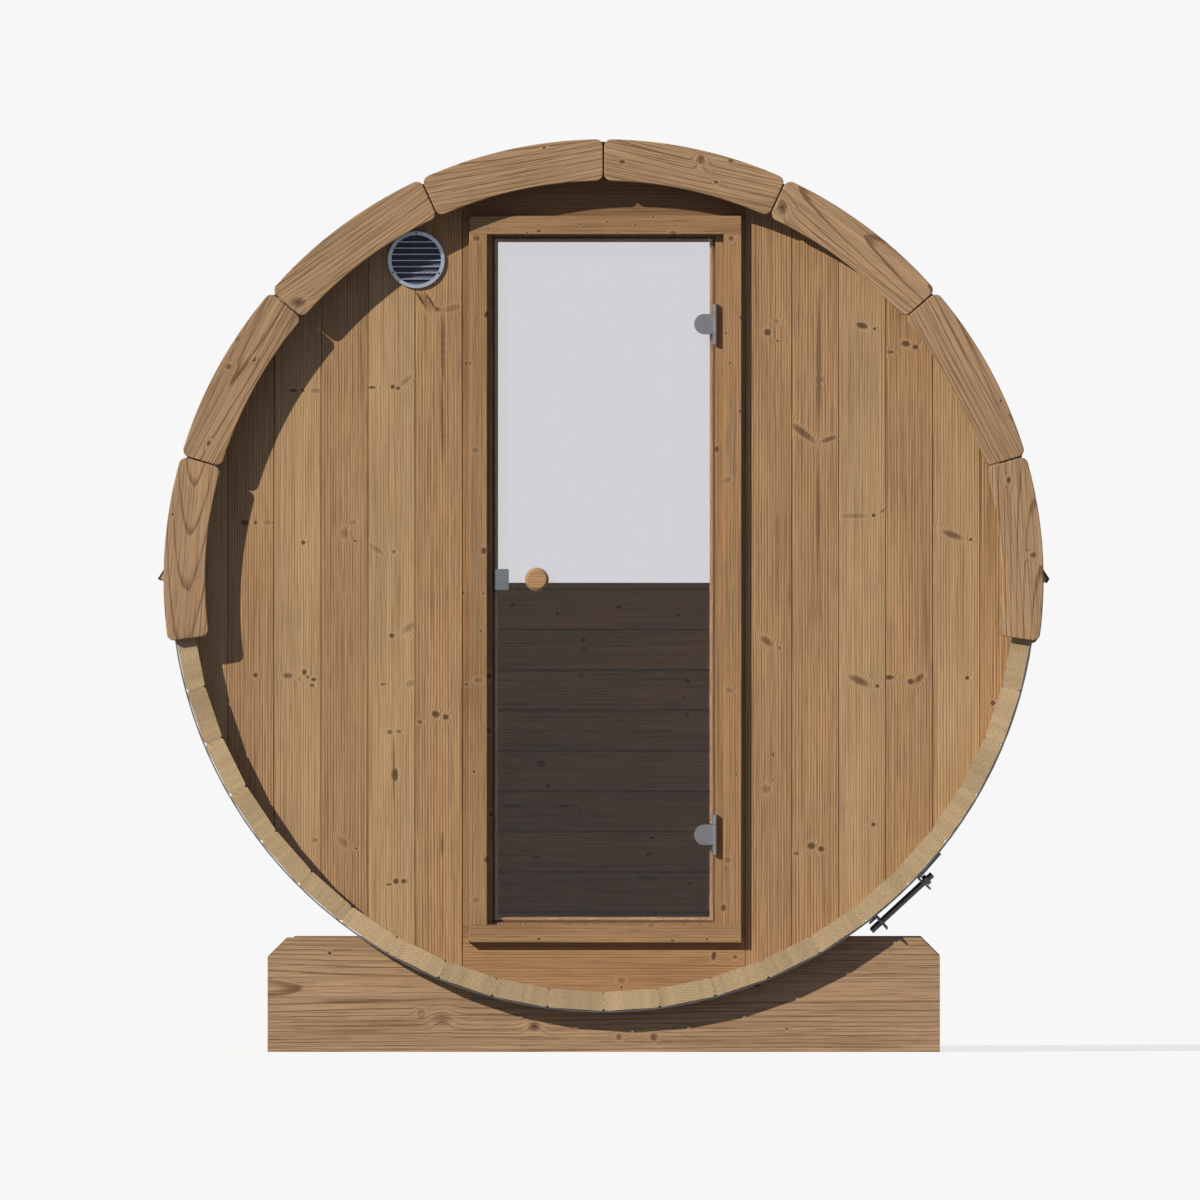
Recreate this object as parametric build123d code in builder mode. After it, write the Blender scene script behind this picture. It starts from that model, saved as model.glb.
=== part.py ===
from build123d import *
import math
import os

# Barrel sauna: a ring of wooden staves lying in two cradles, closed by a board wall with a glass door
# at the front and by a half-moon window over boards at the rear.
# Millimetres. +X is right, +Y runs from the door to the rear, +Z is up, the ground is at zero.

# Barrel
barrel_length = 1800.0
barrel_across_flats = 1896.0
stave_count = 48
stave_groups = 8
stave_thickness = 42.0
stave_outer_bevel = 5.0
stave_inner_bevel = 4.0
joint_gap = 0.3
seat_gap = 0.3
overrun = 20.0

# Tongue and groove, shared by staves and wall boards
tongue_length = 7.0
tongue_thickness = 9.0
tongue_clearance = 0.3

# End walls
wall_thickness = 42.0
wall_recess = 60.0
groove_depth = 12.0
header_height = 127.7
board_pitch = 103.6
board_v_joint = 2.0
rear_board_pitch = 90.2
rear_rail_height = 104.6
glass_thickness = 8.0
glass_seat = 10.0

# Arch boards on the stave ends
arch_overhang = 20.0
arch_width = 92.0
arch_thickness = 26.0
arch_boards_per_side = 4
arch_board_angle = 24.55
arch_board_gap = 2.5
arch_corner_radius = 16.0
arch_edge = 3.0

# Cradles
cradle_web = 89.7
cradle_width = 1480.0
cradle_height = 252.0
cradle_thickness = 60.0
cradle_setback = 70.0
cradle_chamfer = 42.0

# Hoops and their tensioners
hoop_thickness = 3.0
hoop_width = 30.0
hoop_setback = 20.0
lug_thickness = 4.0
lug_height = 37.5
lug_foot_long = 74.0
lug_foot_short = 22.0
lug_offset = 38.5
lug_stave_upper = 5
lug_stave_lower = 6
rod_radius = 6.0
rod_hole_clearance = 0.6
rod_rise = 16.5
rod_end_upper = 27.0
rod_end_lower = 29.0
nut_across_flats = 19.0
nut_height = 10.0

# Roof covering and eave battens
roof_thickness = 4.0
eave_top = 42.0
eave_tip = 2.0
eave_bottom = 23.0
eave_reach = 25.0
eave_overhang = 4.0

# Door frame and casing
door_shift = 4.0
casing_face = 40.0
casing_margin = 15.0
casing_cover = 10.0
casing_thickness = 26.0
jamb_width = 65.8
frame_rail = 40.0
frame_depth = 60.0
stop_overlap = 7.0
casing_edge = 2.0

# Door leaf
leaf_width = 480.0
leaf_recess = 2.0
leaf_gap = 5.0

# Door knob and latch
knob_radius = 26.0
knob_length = 34.0
knob_neck_radius = 13.0
knob_neck_length = 12.0
knob_edge = 6.0
knob_inset = 93.0
spindle_radius = 5.0
latch_width = 31.0
latch_height = 46.0
latch_thickness = 6.0
latch_corner = 3.0

# Hinges
hinge_inset = 188.0
hinge_axis_rise = 10.0
knuckle_radius = 6.0
knuckle_length = 44.0
knuckle_gap = 1.0
hinge_bracket_height = 88.0
hinge_plate_thickness = 3.0
pin_radius = 3.0
pin_clearance = 0.05
clamp_reach = 46.0
clamp_height = 45.0
clamp_thickness = 8.0
clamp_back_thickness = 4.0
clamp_arm_thickness = 10.0
clamp_bolt_radius = 4.0

# Vent
vent_side = 101.9
vent_margin = 102.0
vent_radius = 62.5
vent_rim = 8.0
vent_depth = 9.0
vent_lip = 1.0
vent_collar_wall = 2.0
vent_blade_count = 7
vent_blade_pitch = 13.6
vent_blade_width = 10.0
vent_blade_thickness = 1.6
vent_blade_tilt = 20.0
vent_screen_thickness = 1.5

# Slatted floor
floor_rise = 148.0
floor_slat_width = 88.0
floor_slat_gap = 10.0
floor_side_gap = 15.0
floor_slat_thickness = 22.0
floor_bearer_count = 3
floor_bearer_thickness = 45.0
floor_end_gap = 12.0

# Sizes worked out from the ones above
stave_pitch = 360.0 / stave_count
half_pitch = stave_pitch / 2
outer_apothem = barrel_across_flats / 2
inner_apothem = outer_apothem - stave_thickness
shell_corner_radius = outer_apothem / math.cos(math.radians(half_pitch))
axis_height = cradle_web + seat_gap + shell_corner_radius
front_end = -barrel_length / 2
rear_end = barrel_length / 2
wall_face = front_end + wall_recess
wall_inner = wall_face + wall_thickness
wall_middle = wall_face + wall_thickness / 2
wall_radius = inner_apothem + groove_depth - seat_gap
arch_outer_radius = outer_apothem + arch_overhang
arch_inner_radius = arch_outer_radius - arch_width
roof_inner_radius = shell_corner_radius + seat_gap
roof_outer_radius = roof_inner_radius + roof_thickness
stave_half_width = outer_apothem * math.tan(math.radians(half_pitch)) - joint_gap / 2
stave_rim_radius = math.hypot(outer_apothem, stave_half_width - stave_outer_bevel)
hoop_inner_radius = stave_rim_radius + seat_gap
hoop_outer_radius = hoop_inner_radius + hoop_thickness
hoop_notch_radius = hoop_outer_radius + seat_gap
hoop_front_y = front_end + hoop_setback
hoop_rear_y = rear_end - hoop_setback - hoop_width
frame_height = 2 * (wall_radius - header_height)
leaf_height = frame_height - 2 * frame_rail
rebate_half_width = leaf_width / 2 + leaf_gap
strip_half = rebate_half_width + jamb_width
rebate_half_height = leaf_height / 2 + leaf_gap
stop_half_width = leaf_width / 2 - stop_overlap
stop_half_height = leaf_height / 2 - stop_overlap
casing_width = 2 * (rebate_half_width + casing_margin + casing_face)
casing_height = frame_height + 2 * casing_cover
rebate_depth = leaf_recess + glass_thickness + leaf_gap
leaf_front = wall_face + leaf_recess
leaf_back = leaf_front + glass_thickness
hinge_x = rebate_half_width
hinge_y = wall_face - hinge_axis_rise
hinge_height = leaf_height / 2 - hinge_inset
knob_x = knob_inset - leaf_width / 2
vent_opening_radius = vent_radius - vent_rim
vent_collar_radius = vent_opening_radius + vent_lip + vent_collar_wall
vent_x = -strip_half - vent_side
vent_z = math.sqrt((wall_radius - vent_margin) ** 2 - vent_x**2)

os.makedirs("parts", exist_ok=True)


def barrel_plane(y):
    """Cross-section of the barrel at depth y: local x is right, local y is up, local z points to the front."""
    return Plane(origin=(0, y, axis_height), x_dir=(1, 0, 0), z_dir=(0, -1, 0))


def keep(piece, name):
    """Label a finished piece and write it out."""
    piece.part.label = name
    export_step(piece.part, "parts/" + name + ".step")


# Staves
def make_stave(rear_groove_width):
    """One stave at angle zero, with its length along the barrel axis, front end up."""
    half_in = inner_apothem * math.tan(math.radians(half_pitch)) - joint_gap / 2
    slope = (stave_half_width - half_in) / stave_thickness
    bevel_out = outer_apothem - stave_outer_bevel
    bevel_in = inner_apothem + stave_inner_bevel
    half_bevel_out = stave_half_width - slope * stave_outer_bevel
    half_bevel_in = half_in + slope * stave_inner_bevel
    tongue_radius = (outer_apothem + inner_apothem) / 2 + groove_depth / 2
    with BuildPart() as stave:
        with BuildSketch(Plane.XY.offset(-barrel_length / 2)):
            with BuildLine():
                Polyline(
                    (inner_apothem, half_in - stave_inner_bevel),
                    (bevel_in, half_bevel_in),
                    (bevel_out, half_bevel_out),
                    (outer_apothem, stave_half_width - stave_outer_bevel),
                    (outer_apothem, stave_outer_bevel - stave_half_width),
                    (bevel_out, -half_bevel_out),
                    (bevel_in, -half_bevel_in),
                    (inner_apothem, stave_inner_bevel - half_in),
                    close=True,
                )
            make_face()
            with PolarLocations(tongue_radius, 1, start_angle=half_pitch):
                Rectangle(tongue_thickness, 2 * tongue_length)
            with PolarLocations(tongue_radius, 1, start_angle=-half_pitch):
                Rectangle(
                    tongue_thickness + 2 * tongue_clearance,
                    2 * (tongue_length + tongue_clearance),
                    mode=Mode.SUBTRACT,
                )
        extrude(amount=barrel_length)
        wall_level = barrel_length / 2 - wall_recess - wall_thickness / 2
        with Locations((0, 0, wall_level)):
            Cylinder(inner_apothem + groove_depth, wall_thickness + 2 * seat_gap, mode=Mode.SUBTRACT)
        with Locations((0, 0, -wall_level)):
            Cylinder(inner_apothem + groove_depth, rear_groove_width + 2 * seat_gap, mode=Mode.SUBTRACT)
    return stave.part


window_stave = make_stave(glass_thickness)
board_stave = make_stave(wall_thickness)
staves_per_group = stave_count // stave_groups
group_angle = 360.0 / stave_groups
for group in range(stave_groups):
    start = group * group_angle + half_pitch
    stave = window_stave if group < stave_groups / 2 else board_stave
    with BuildPart(barrel_plane(0)) as staves:
        with PolarLocations(0, staves_per_group, start_angle=start, angular_range=group_angle):
            add(stave)
    keep(staves, "staves_" + str(group + 1))

# Cradles
for name, y_back in (
    ("cradle_front", front_end + cradle_setback + cradle_thickness),
    ("cradle_rear", rear_end - cradle_setback),
):
    with BuildPart() as cradle:
        with BuildSketch(barrel_plane(y_back)) as cradle_outline:
            with Locations((0, cradle_height / 2 - axis_height)):
                Rectangle(cradle_width, cradle_height)
            chamfer(cradle_outline.vertices().group_by(Axis.Y)[-1], cradle_chamfer)
            Circle(shell_corner_radius + seat_gap, mode=Mode.SUBTRACT)
        extrude(amount=cradle_thickness)
    keep(cradle, name)


# Wall boards
def board_section(pitch):
    """Section of one board with its tongue towards +x and its groove towards -x."""
    edge = (pitch - joint_gap) / 2
    with BuildSketch() as section:
        Rectangle(pitch - joint_gap, wall_thickness)
        chamfer(section.vertices(), board_v_joint)
        with Locations((edge, 0)):
            Rectangle(2 * tongue_length, tongue_thickness)
        with Locations((-edge, 0)):
            Rectangle(
                2 * (tongue_length + tongue_clearance),
                tongue_thickness + 2 * tongue_clearance,
                mode=Mode.SUBTRACT,
            )
    return section.sketch


front_board = board_section(board_pitch)
side_board_count = math.ceil((wall_radius - strip_half) / board_pitch)
with BuildPart() as boards_left:
    with BuildSketch(Plane.XY.offset(axis_height - wall_radius - overrun)):
        for board in range(side_board_count):
            with Locations((-strip_half - (board + 1 / 2) * board_pitch, wall_middle)):
                add(front_board)
        with Locations((0, wall_middle)):
            Rectangle(2 * strip_half, wall_thickness, mode=Mode.SUBTRACT)
    extrude(amount=2 * (wall_radius + overrun))
    with BuildSketch(barrel_plane(wall_inner + overrun)):
        Circle(wall_radius)
    extrude(amount=wall_thickness + 2 * overrun, mode=Mode.INTERSECT)
right_boards = mirror(boards_left.part, about=Plane.YZ)
with BuildPart() as front_boards_right:
    add(right_boards)
keep(front_boards_right, "front_boards_right")

with BuildPart() as front_boards_left:
    add(boards_left.part)
    with BuildSketch(barrel_plane(wall_inner + overrun)):
        with Locations((vent_x, vent_z)):
            Circle(vent_collar_radius + seat_gap)
    extrude(amount=wall_thickness + 2 * overrun, mode=Mode.SUBTRACT)
keep(front_boards_left, "front_boards_left")

# Boards above and below the door frame
for name, side in (("front_header", 1), ("front_sill", -1)):
    with BuildPart() as filler:
        with BuildSketch(barrel_plane(wall_inner)):
            Circle(wall_radius)
            with Locations((0, side * (frame_height / 2 + wall_radius) / 2)):
                Rectangle(
                    2 * strip_half - 2 * joint_gap,
                    wall_radius - frame_height / 2,
                    mode=Mode.INTERSECT,
                )
        extrude(amount=wall_thickness)
    keep(filler, name)

# Rear wall: level boards under a rail that carries the half-moon window
rear_inner = rear_end - wall_recess - wall_thickness
rear_middle = rear_inner + wall_thickness / 2
rear_board = board_section(rear_board_pitch)
rear_rail = board_section(rear_rail_height)
rear_board_count = round((wall_radius - rear_rail_height) / rear_board_pitch)
with BuildPart() as rear_boards:
    across = Plane(
        origin=(-wall_radius - overrun, rear_middle, axis_height),
        x_dir=(0, 0, 1),
        z_dir=(1, 0, 0),
    )
    with BuildSketch(across):
        with Locations((-rear_rail_height / 2, 0)):
            add(rear_rail)
        for board in range(rear_board_count):
            with Locations((-rear_rail_height - (board + 1 / 2) * rear_board_pitch, 0)):
                add(rear_board)
        with Locations((-rear_rail_height - rear_board_count * rear_board_pitch, 0)):
            Rectangle(rear_board_pitch, wall_thickness)
        with Locations((tongue_length, 0)):
            Rectangle(2 * tongue_length, wall_thickness, mode=Mode.SUBTRACT)
        Rectangle(2 * glass_seat, glass_thickness + 2 * seat_gap, mode=Mode.SUBTRACT)
    extrude(amount=2 * (wall_radius + overrun))
    with BuildSketch(barrel_plane(rear_inner + wall_thickness + overrun)):
        Circle(wall_radius)
    extrude(amount=wall_thickness + 2 * overrun, mode=Mode.INTERSECT)
keep(rear_boards, "rear_boards")

with BuildPart() as rear_window:
    with BuildSketch(barrel_plane(rear_middle + glass_thickness / 2)):
        Circle(wall_radius)
        with Locations((0, (wall_radius - glass_seat + seat_gap) / 2)):
            Rectangle(2 * wall_radius, wall_radius + glass_seat - seat_gap, mode=Mode.INTERSECT)
    extrude(amount=glass_thickness)
keep(rear_window, "rear_window")


# Arch boards
def make_arch_board():
    """One arch board at angle zero, its back on the plane and its face up."""
    gap_angle = math.degrees(arch_board_gap / arch_outer_radius)
    span = arch_board_angle - gap_angle
    with BuildPart() as board:
        with BuildSketch() as outline:
            with BuildLine():
                outer = CenterArc((0, 0), arch_outer_radius, -span / 2, span)
                inner = CenterArc((0, 0), arch_inner_radius, -span / 2, span)
                Line(outer @ 0, inner @ 0)
                Line(outer @ 1, inner @ 1)
            make_face()
            fillet(outline.vertices(), arch_corner_radius)
        extrude(amount=arch_thickness)
        fillet(board.faces().sort_by(Axis.Z)[-1].edges(), arch_edge)
    return board.part


arch_board = make_arch_board()
arch_board_count = 2 * arch_boards_per_side
arch_start = 90 - (arch_boards_per_side - 1 / 2) * arch_board_angle
for index in range(arch_board_count):
    with BuildPart(barrel_plane(front_end)) as front_arch:
        with PolarLocations(0, 1, start_angle=arch_start + index * arch_board_angle):
            add(arch_board)
    keep(front_arch, "front_arch_" + str(index + 1))

arch_span = arch_board_count * arch_board_angle
with BuildPart(barrel_plane(rear_end + arch_thickness)) as rear_arch:
    with PolarLocations(0, arch_board_count, start_angle=arch_start, angular_range=arch_span):
        add(arch_board)
keep(rear_arch, "rear_arch")

# Hoops
for name, y_front in (("hoop_front", hoop_front_y), ("hoop_rear", hoop_rear_y)):
    with BuildPart() as hoop:
        with BuildSketch(barrel_plane(y_front + hoop_width)):
            Circle(hoop_outer_radius)
            Circle(hoop_inner_radius, mode=Mode.SUBTRACT)
        extrude(amount=hoop_width)
    keep(hoop, name)


# Tensioners: two lugs on the hoop, drawn together by a threaded rod
def stave_plane(index, y):
    """Section plane whose local x points out of the middle of a stave, counted downwards from the right."""
    angle = math.radians(-half_pitch - index * stave_pitch)
    out = (math.cos(angle), 0, math.sin(angle))
    return Plane(origin=(0, y, axis_height), x_dir=out, z_dir=(0, -1, 0))


lug_base = hoop_outer_radius + seat_gap
rod_level = lug_base + rod_rise
for name, y_front in (("tensioner_front", hoop_front_y), ("tensioner_rear", hoop_rear_y)):
    y_middle = y_front + hoop_width / 2
    upper_hole = stave_plane(lug_stave_upper, y_middle).from_local_coords(Vector(rod_level, -lug_offset, 0))
    lower_hole = stave_plane(lug_stave_lower, y_middle).from_local_coords(Vector(rod_level, -lug_offset, 0))
    pull = (upper_hole - lower_hole).normalized()
    rod_plane = Plane(origin=lower_hole - pull * rod_end_lower, z_dir=pull)
    nut_plane = Plane(origin=upper_hole + pull * (lug_thickness + seat_gap), z_dir=pull)
    rod_length = (upper_hole - lower_hole).length + rod_end_lower + rod_end_upper
    with BuildPart() as tensioner:
        for index, foot in ((lug_stave_upper, lug_foot_long), (lug_stave_lower, -lug_foot_short)):
            with BuildSketch(stave_plane(index, y_front + hoop_width)):
                with Locations((lug_base + lug_height / 2, -lug_offset)):
                    Rectangle(lug_height, lug_thickness)
                with Locations((lug_base + lug_thickness / 2, -lug_offset + foot / 2)):
                    Rectangle(lug_thickness, abs(foot))
            extrude(amount=hoop_width)
        with BuildSketch(rod_plane):
            Circle(rod_radius + rod_hole_clearance)
        extrude(amount=rod_length, mode=Mode.SUBTRACT)
        with BuildSketch(rod_plane):
            Circle(rod_radius)
        extrude(amount=rod_length)
        with BuildSketch(nut_plane):
            RegularPolygon(nut_across_flats / 2, 6, major_radius=False)
        extrude(amount=nut_height)
    keep(tensioner, name)

# Eave battens and roof covering, both let out over the hoops
eave_root = math.sqrt(roof_inner_radius**2 - eave_top**2)
eave_slope = Vector(roof_inner_radius + eave_reach - eave_root, eave_tip - eave_top).normalized()
eave_normal = Vector(-eave_slope.Y, eave_slope.X)
tip_point = Vector(roof_inner_radius + eave_reach, eave_tip)
root_point = Vector(eave_root, eave_top)
for name, side in (("eave_batten_right", 1), ("eave_batten_left", -1)):
    with BuildPart() as batten:
        with BuildSketch(barrel_plane(rear_end)):
            with BuildLine():
                Polyline(
                    (side * (eave_root - overrun), eave_top),
                    (side * eave_root, eave_top),
                    (side * tip_point.X, eave_tip),
                    (side * roof_inner_radius, -eave_bottom),
                    (side * (roof_inner_radius - overrun), -eave_bottom),
                    close=True,
                )
            make_face()
            Circle(roof_inner_radius, mode=Mode.SUBTRACT)
        extrude(amount=barrel_length)
        for y_front in (hoop_front_y, hoop_rear_y):
            with BuildSketch(barrel_plane(y_front + hoop_width + seat_gap)):
                Circle(hoop_notch_radius)
            extrude(amount=hoop_width + 2 * seat_gap, mode=Mode.SUBTRACT)
    keep(batten, name)

flap_low = root_point - eave_slope * roof_thickness + eave_normal * seat_gap
flap_end = tip_point + eave_slope * eave_overhang + eave_normal * seat_gap
flap_rise = eave_normal * roof_thickness
with BuildPart() as roof:
    with BuildSketch(barrel_plane(rear_end)):
        Circle(roof_outer_radius)
        with Locations((0, (roof_outer_radius + eave_top) / 2)):
            Rectangle(2 * roof_outer_radius, roof_outer_radius - eave_top, mode=Mode.INTERSECT)
        for side in (1, -1):
            with BuildLine():
                Polyline(
                    (side * flap_low.X, flap_low.Y),
                    (side * flap_end.X, flap_end.Y),
                    (side * (flap_end + flap_rise).X, (flap_end + flap_rise).Y),
                    (side * (flap_low + flap_rise).X, (flap_low + flap_rise).Y),
                    close=True,
                )
            make_face()
        Circle(roof_inner_radius, mode=Mode.SUBTRACT)
    extrude(amount=barrel_length)
    for y_front in (hoop_front_y, hoop_rear_y):
        with BuildSketch(barrel_plane(y_front + hoop_width + seat_gap)):
            Circle(hoop_notch_radius)
        extrude(amount=hoop_width + 2 * seat_gap, mode=Mode.SUBTRACT)
keep(roof, "roof_covering")

# Door frame: two jambs with a head and a threshold between them, rebated for the leaf
frame_half = strip_half - joint_gap
rail_edge = frame_height / 2 - joint_gap
with BuildPart() as door_frame:
    for side in (1, -1):
        with BuildSketch(barrel_plane(wall_face + rebate_depth)):
            with Locations((side * (frame_half + rebate_half_width) / 2, 0)):
                Rectangle(frame_half - rebate_half_width, frame_height - 2 * joint_gap)
        extrude(amount=rebate_depth)
        with BuildSketch(barrel_plane(wall_face + frame_depth)):
            with Locations((side * (frame_half + stop_half_width) / 2, 0)):
                Rectangle(frame_half - stop_half_width, frame_height - 2 * joint_gap)
        extrude(amount=frame_depth - rebate_depth)
        with BuildSketch(barrel_plane(wall_face + rebate_depth - joint_gap)):
            with Locations((0, side * (rail_edge + rebate_half_height) / 2)):
                Rectangle(2 * (rebate_half_width - joint_gap), rail_edge - rebate_half_height)
        extrude(amount=rebate_depth - joint_gap)
        with BuildSketch(barrel_plane(wall_face + frame_depth)):
            with Locations((0, side * (rail_edge + stop_half_height) / 2)):
                Rectangle(2 * (stop_half_width - joint_gap), rail_edge - stop_half_height)
        extrude(amount=frame_depth - rebate_depth)
        with BuildSketch(barrel_plane(wall_face + rebate_depth)):
            with Locations((0, side * (rail_edge + rebate_half_height) / 2)):
                Rectangle(2 * (stop_half_width - joint_gap), rail_edge - rebate_half_height)
        extrude(amount=rebate_depth)
keep(door_frame, "door_frame")

# Casing: head and bottom board run across, side boards stand between them
with BuildPart() as door_casing:
    for side in (1, -1):
        with BuildSketch(barrel_plane(wall_face)):
            with Locations((door_shift, side * (casing_height - casing_face) / 2)):
                Rectangle(casing_width, casing_face)
            with Locations((door_shift + side * (casing_width - casing_face) / 2, 0)):
                Rectangle(casing_face, casing_height - 2 * casing_face - 2 * joint_gap)
        extrude(amount=casing_thickness)
    face_edges = door_casing.faces().group_by(Axis.Y)[0].edges()
    level_edges = face_edges.filter_by(Axis.X).sort_by(Axis.Z)
    chamfer(face_edges.filter_by(Axis.Z) + [level_edges[0], level_edges[-1]], casing_edge)
keep(door_casing, "door_casing")

# Door leaf
with BuildPart() as door_glass:
    with BuildSketch(barrel_plane(leaf_back)):
        Rectangle(leaf_width, leaf_height)
        with Locations((knob_x, 0)):
            Circle(spindle_radius + seat_gap, mode=Mode.SUBTRACT)
        with Locations((hinge_x - clamp_reach / 2, hinge_height), (hinge_x - clamp_reach / 2, -hinge_height)):
            Circle(clamp_bolt_radius + seat_gap, mode=Mode.SUBTRACT)
    extrude(amount=glass_thickness)
keep(door_glass, "door_glass")

# Turned knobs on both sides of the glass, on one spindle
knob_outside = leaf_front - seat_gap
knob_inside = leaf_back + seat_gap
with BuildPart() as door_knob:
    knob_plane = Plane(origin=(knob_x, 0, axis_height), x_dir=(1, 0, 0), z_dir=(0, 0, 1))
    with BuildSketch(knob_plane):
        with BuildLine():
            Polyline(
                (0, knob_outside - knob_length),
                (knob_radius - knob_edge, knob_outside - knob_length),
                (knob_radius, knob_outside - knob_length + knob_edge),
                (knob_radius, knob_outside - knob_neck_length - knob_edge),
                (knob_neck_radius, knob_outside - knob_neck_length),
                (knob_neck_radius, knob_outside),
                (spindle_radius, knob_outside),
                (spindle_radius, knob_inside),
                (knob_neck_radius, knob_inside),
                (knob_neck_radius, knob_inside + knob_neck_length),
                (knob_radius, knob_inside + knob_neck_length + knob_edge),
                (knob_radius, knob_inside + knob_length - knob_edge),
                (knob_radius - knob_edge, knob_inside + knob_length),
                (0, knob_inside + knob_length),
                close=True,
            )
        make_face()
    revolve(axis=Axis((knob_x, 0, axis_height), (0, 1, 0)))
keep(door_knob, "door_knob")

with BuildPart() as door_latch:
    with BuildSketch(barrel_plane(leaf_front)):
        with Locations((-leaf_width / 2 + latch_width / 2, 0)):
            RectangleRounded(latch_width, latch_height, latch_corner)
    extrude(amount=latch_thickness)
keep(door_latch, "door_latch")

# Hinges: a clamp on the glass with the middle knuckle, and a bracket on the jamb with the outer ones
clamp_right = hinge_x - leaf_gap - knuckle_radius / 2
clamp_left = hinge_x - clamp_reach
clamp_back_right = stop_half_width - leaf_gap
outer_knuckle = hinge_bracket_height / 2 - knuckle_length / 2 - knuckle_gap
for name, side in (("upper", 1), ("lower", -1)):
    z = axis_height + side * hinge_height
    with BuildPart() as hinge_clamp:
        with BuildSketch(barrel_plane(leaf_front)):
            with Locations((clamp_left + clamp_height / 2, side * hinge_height)):
                Circle(clamp_height / 2)
            with Locations(((clamp_left + clamp_height / 2 + clamp_right) / 2, side * hinge_height)):
                Rectangle(clamp_right - clamp_left - clamp_height / 2, clamp_height)
        extrude(amount=clamp_thickness)
        with BuildSketch(barrel_plane(leaf_back + clamp_back_thickness)):
            with Locations((clamp_left + clamp_height / 2, side * hinge_height)):
                Circle(clamp_height / 2)
            with Locations(((clamp_left + clamp_back_right) / 2, side * hinge_height)):
                Rectangle(clamp_back_right - clamp_left, clamp_height, mode=Mode.INTERSECT)
        extrude(amount=clamp_back_thickness)
        with BuildSketch(barrel_plane(leaf_back + clamp_back_thickness)):
            with Locations((hinge_x - clamp_reach / 2, side * hinge_height)):
                Circle(clamp_bolt_radius)
        extrude(amount=clamp_back_thickness + glass_thickness + clamp_thickness)
        with BuildSketch(Plane.XY.offset(z - knuckle_length / 2)):
            with Locations((hinge_x, hinge_y)):
                Circle(knuckle_radius)
            with Locations((hinge_x - clamp_reach / 4, hinge_y + knuckle_radius - clamp_arm_thickness / 2)):
                Rectangle(clamp_reach / 2, clamp_arm_thickness)
            with Locations((hinge_x, hinge_y)):
                Circle(pin_radius + pin_clearance, mode=Mode.SUBTRACT)
        extrude(amount=knuckle_length)
    keep(hinge_clamp, "hinge_clamp_" + name)

    with BuildPart() as hinge_bracket:
        with BuildSketch(Plane.XY.offset(z - hinge_bracket_height / 2)):
            with Locations((hinge_x + knuckle_radius / 2, wall_face - hinge_plate_thickness / 2)):
                Rectangle(knuckle_radius, hinge_plate_thickness)
        extrude(amount=hinge_bracket_height)
        for level in (z - hinge_bracket_height / 2, z + hinge_bracket_height / 2 - outer_knuckle):
            with BuildSketch(Plane.XY.offset(level)):
                with Locations((hinge_x, hinge_y)):
                    Circle(knuckle_radius)
                with Locations((hinge_x + knuckle_radius / 2, (hinge_y + wall_face) / 2)):
                    Rectangle(knuckle_radius, wall_face - hinge_y)
            extrude(amount=outer_knuckle)
        with BuildSketch(Plane.XY.offset(z - hinge_bracket_height / 2)):
            with Locations((hinge_x, hinge_y)):
                Circle(pin_radius)
        extrude(amount=hinge_bracket_height)
    keep(hinge_bracket, "hinge_bracket_" + name)

# Vent: a round rim with tilted blades before an insect screen, on a collar through the wall
with BuildPart() as vent:
    blade_plane = Plane(
        origin=(vent_x - vent_radius, wall_face - vent_depth / 2, axis_height + vent_z),
        x_dir=(0, 0, 1),
        z_dir=(1, 0, 0),
    )
    with BuildSketch(blade_plane):
        with GridLocations(vent_blade_pitch, 0, vent_blade_count, 1):
            Rectangle(vent_blade_thickness, vent_blade_width, rotation=vent_blade_tilt)
    extrude(amount=2 * vent_radius)
    with BuildSketch(barrel_plane(wall_face)):
        with Locations((vent_x, vent_z)):
            Circle(vent_radius - vent_rim / 2)
    extrude(amount=vent_depth, mode=Mode.INTERSECT)
    with BuildSketch(barrel_plane(wall_face)):
        with Locations((vent_x, vent_z)):
            Circle(vent_radius)
            Circle(vent_opening_radius, mode=Mode.SUBTRACT)
    extrude(amount=vent_depth)
    with BuildSketch(barrel_plane(wall_inner)):
        with Locations((vent_x, vent_z)):
            Circle(vent_collar_radius)
            Circle(vent_collar_radius - vent_collar_wall, mode=Mode.SUBTRACT)
    extrude(amount=wall_thickness + vent_depth / 2)
    with BuildSketch(barrel_plane(wall_face + vent_screen_thickness)):
        with Locations((vent_x, vent_z)):
            Circle(vent_collar_radius - vent_collar_wall / 2)
    extrude(amount=vent_screen_thickness)
keep(vent, "vent")

# Slatted floor on curved bearers
floor_drop = inner_apothem - floor_rise
floor_front = wall_face + frame_depth + floor_end_gap
floor_back = rear_inner - floor_end_gap
floor_slat_pitch = floor_slat_width + floor_slat_gap
floor_half_chord = math.sqrt(inner_apothem**2 - (floor_drop + floor_slat_thickness) ** 2)
floor_room = 2 * (floor_half_chord - floor_side_gap)
floor_slat_count = math.floor((floor_room + floor_slat_gap) / floor_slat_pitch)
floor_width = floor_slat_count * floor_slat_pitch - floor_slat_gap
with BuildPart() as floor_slats:
    with BuildSketch(barrel_plane(floor_back)):
        with Locations((0, -floor_drop - floor_slat_thickness / 2)):
            with GridLocations(floor_slat_pitch, 0, floor_slat_count, 1):
                Rectangle(floor_slat_width, floor_slat_thickness)
    extrude(amount=floor_back - floor_front)
keep(floor_slats, "floor_slats")

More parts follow.
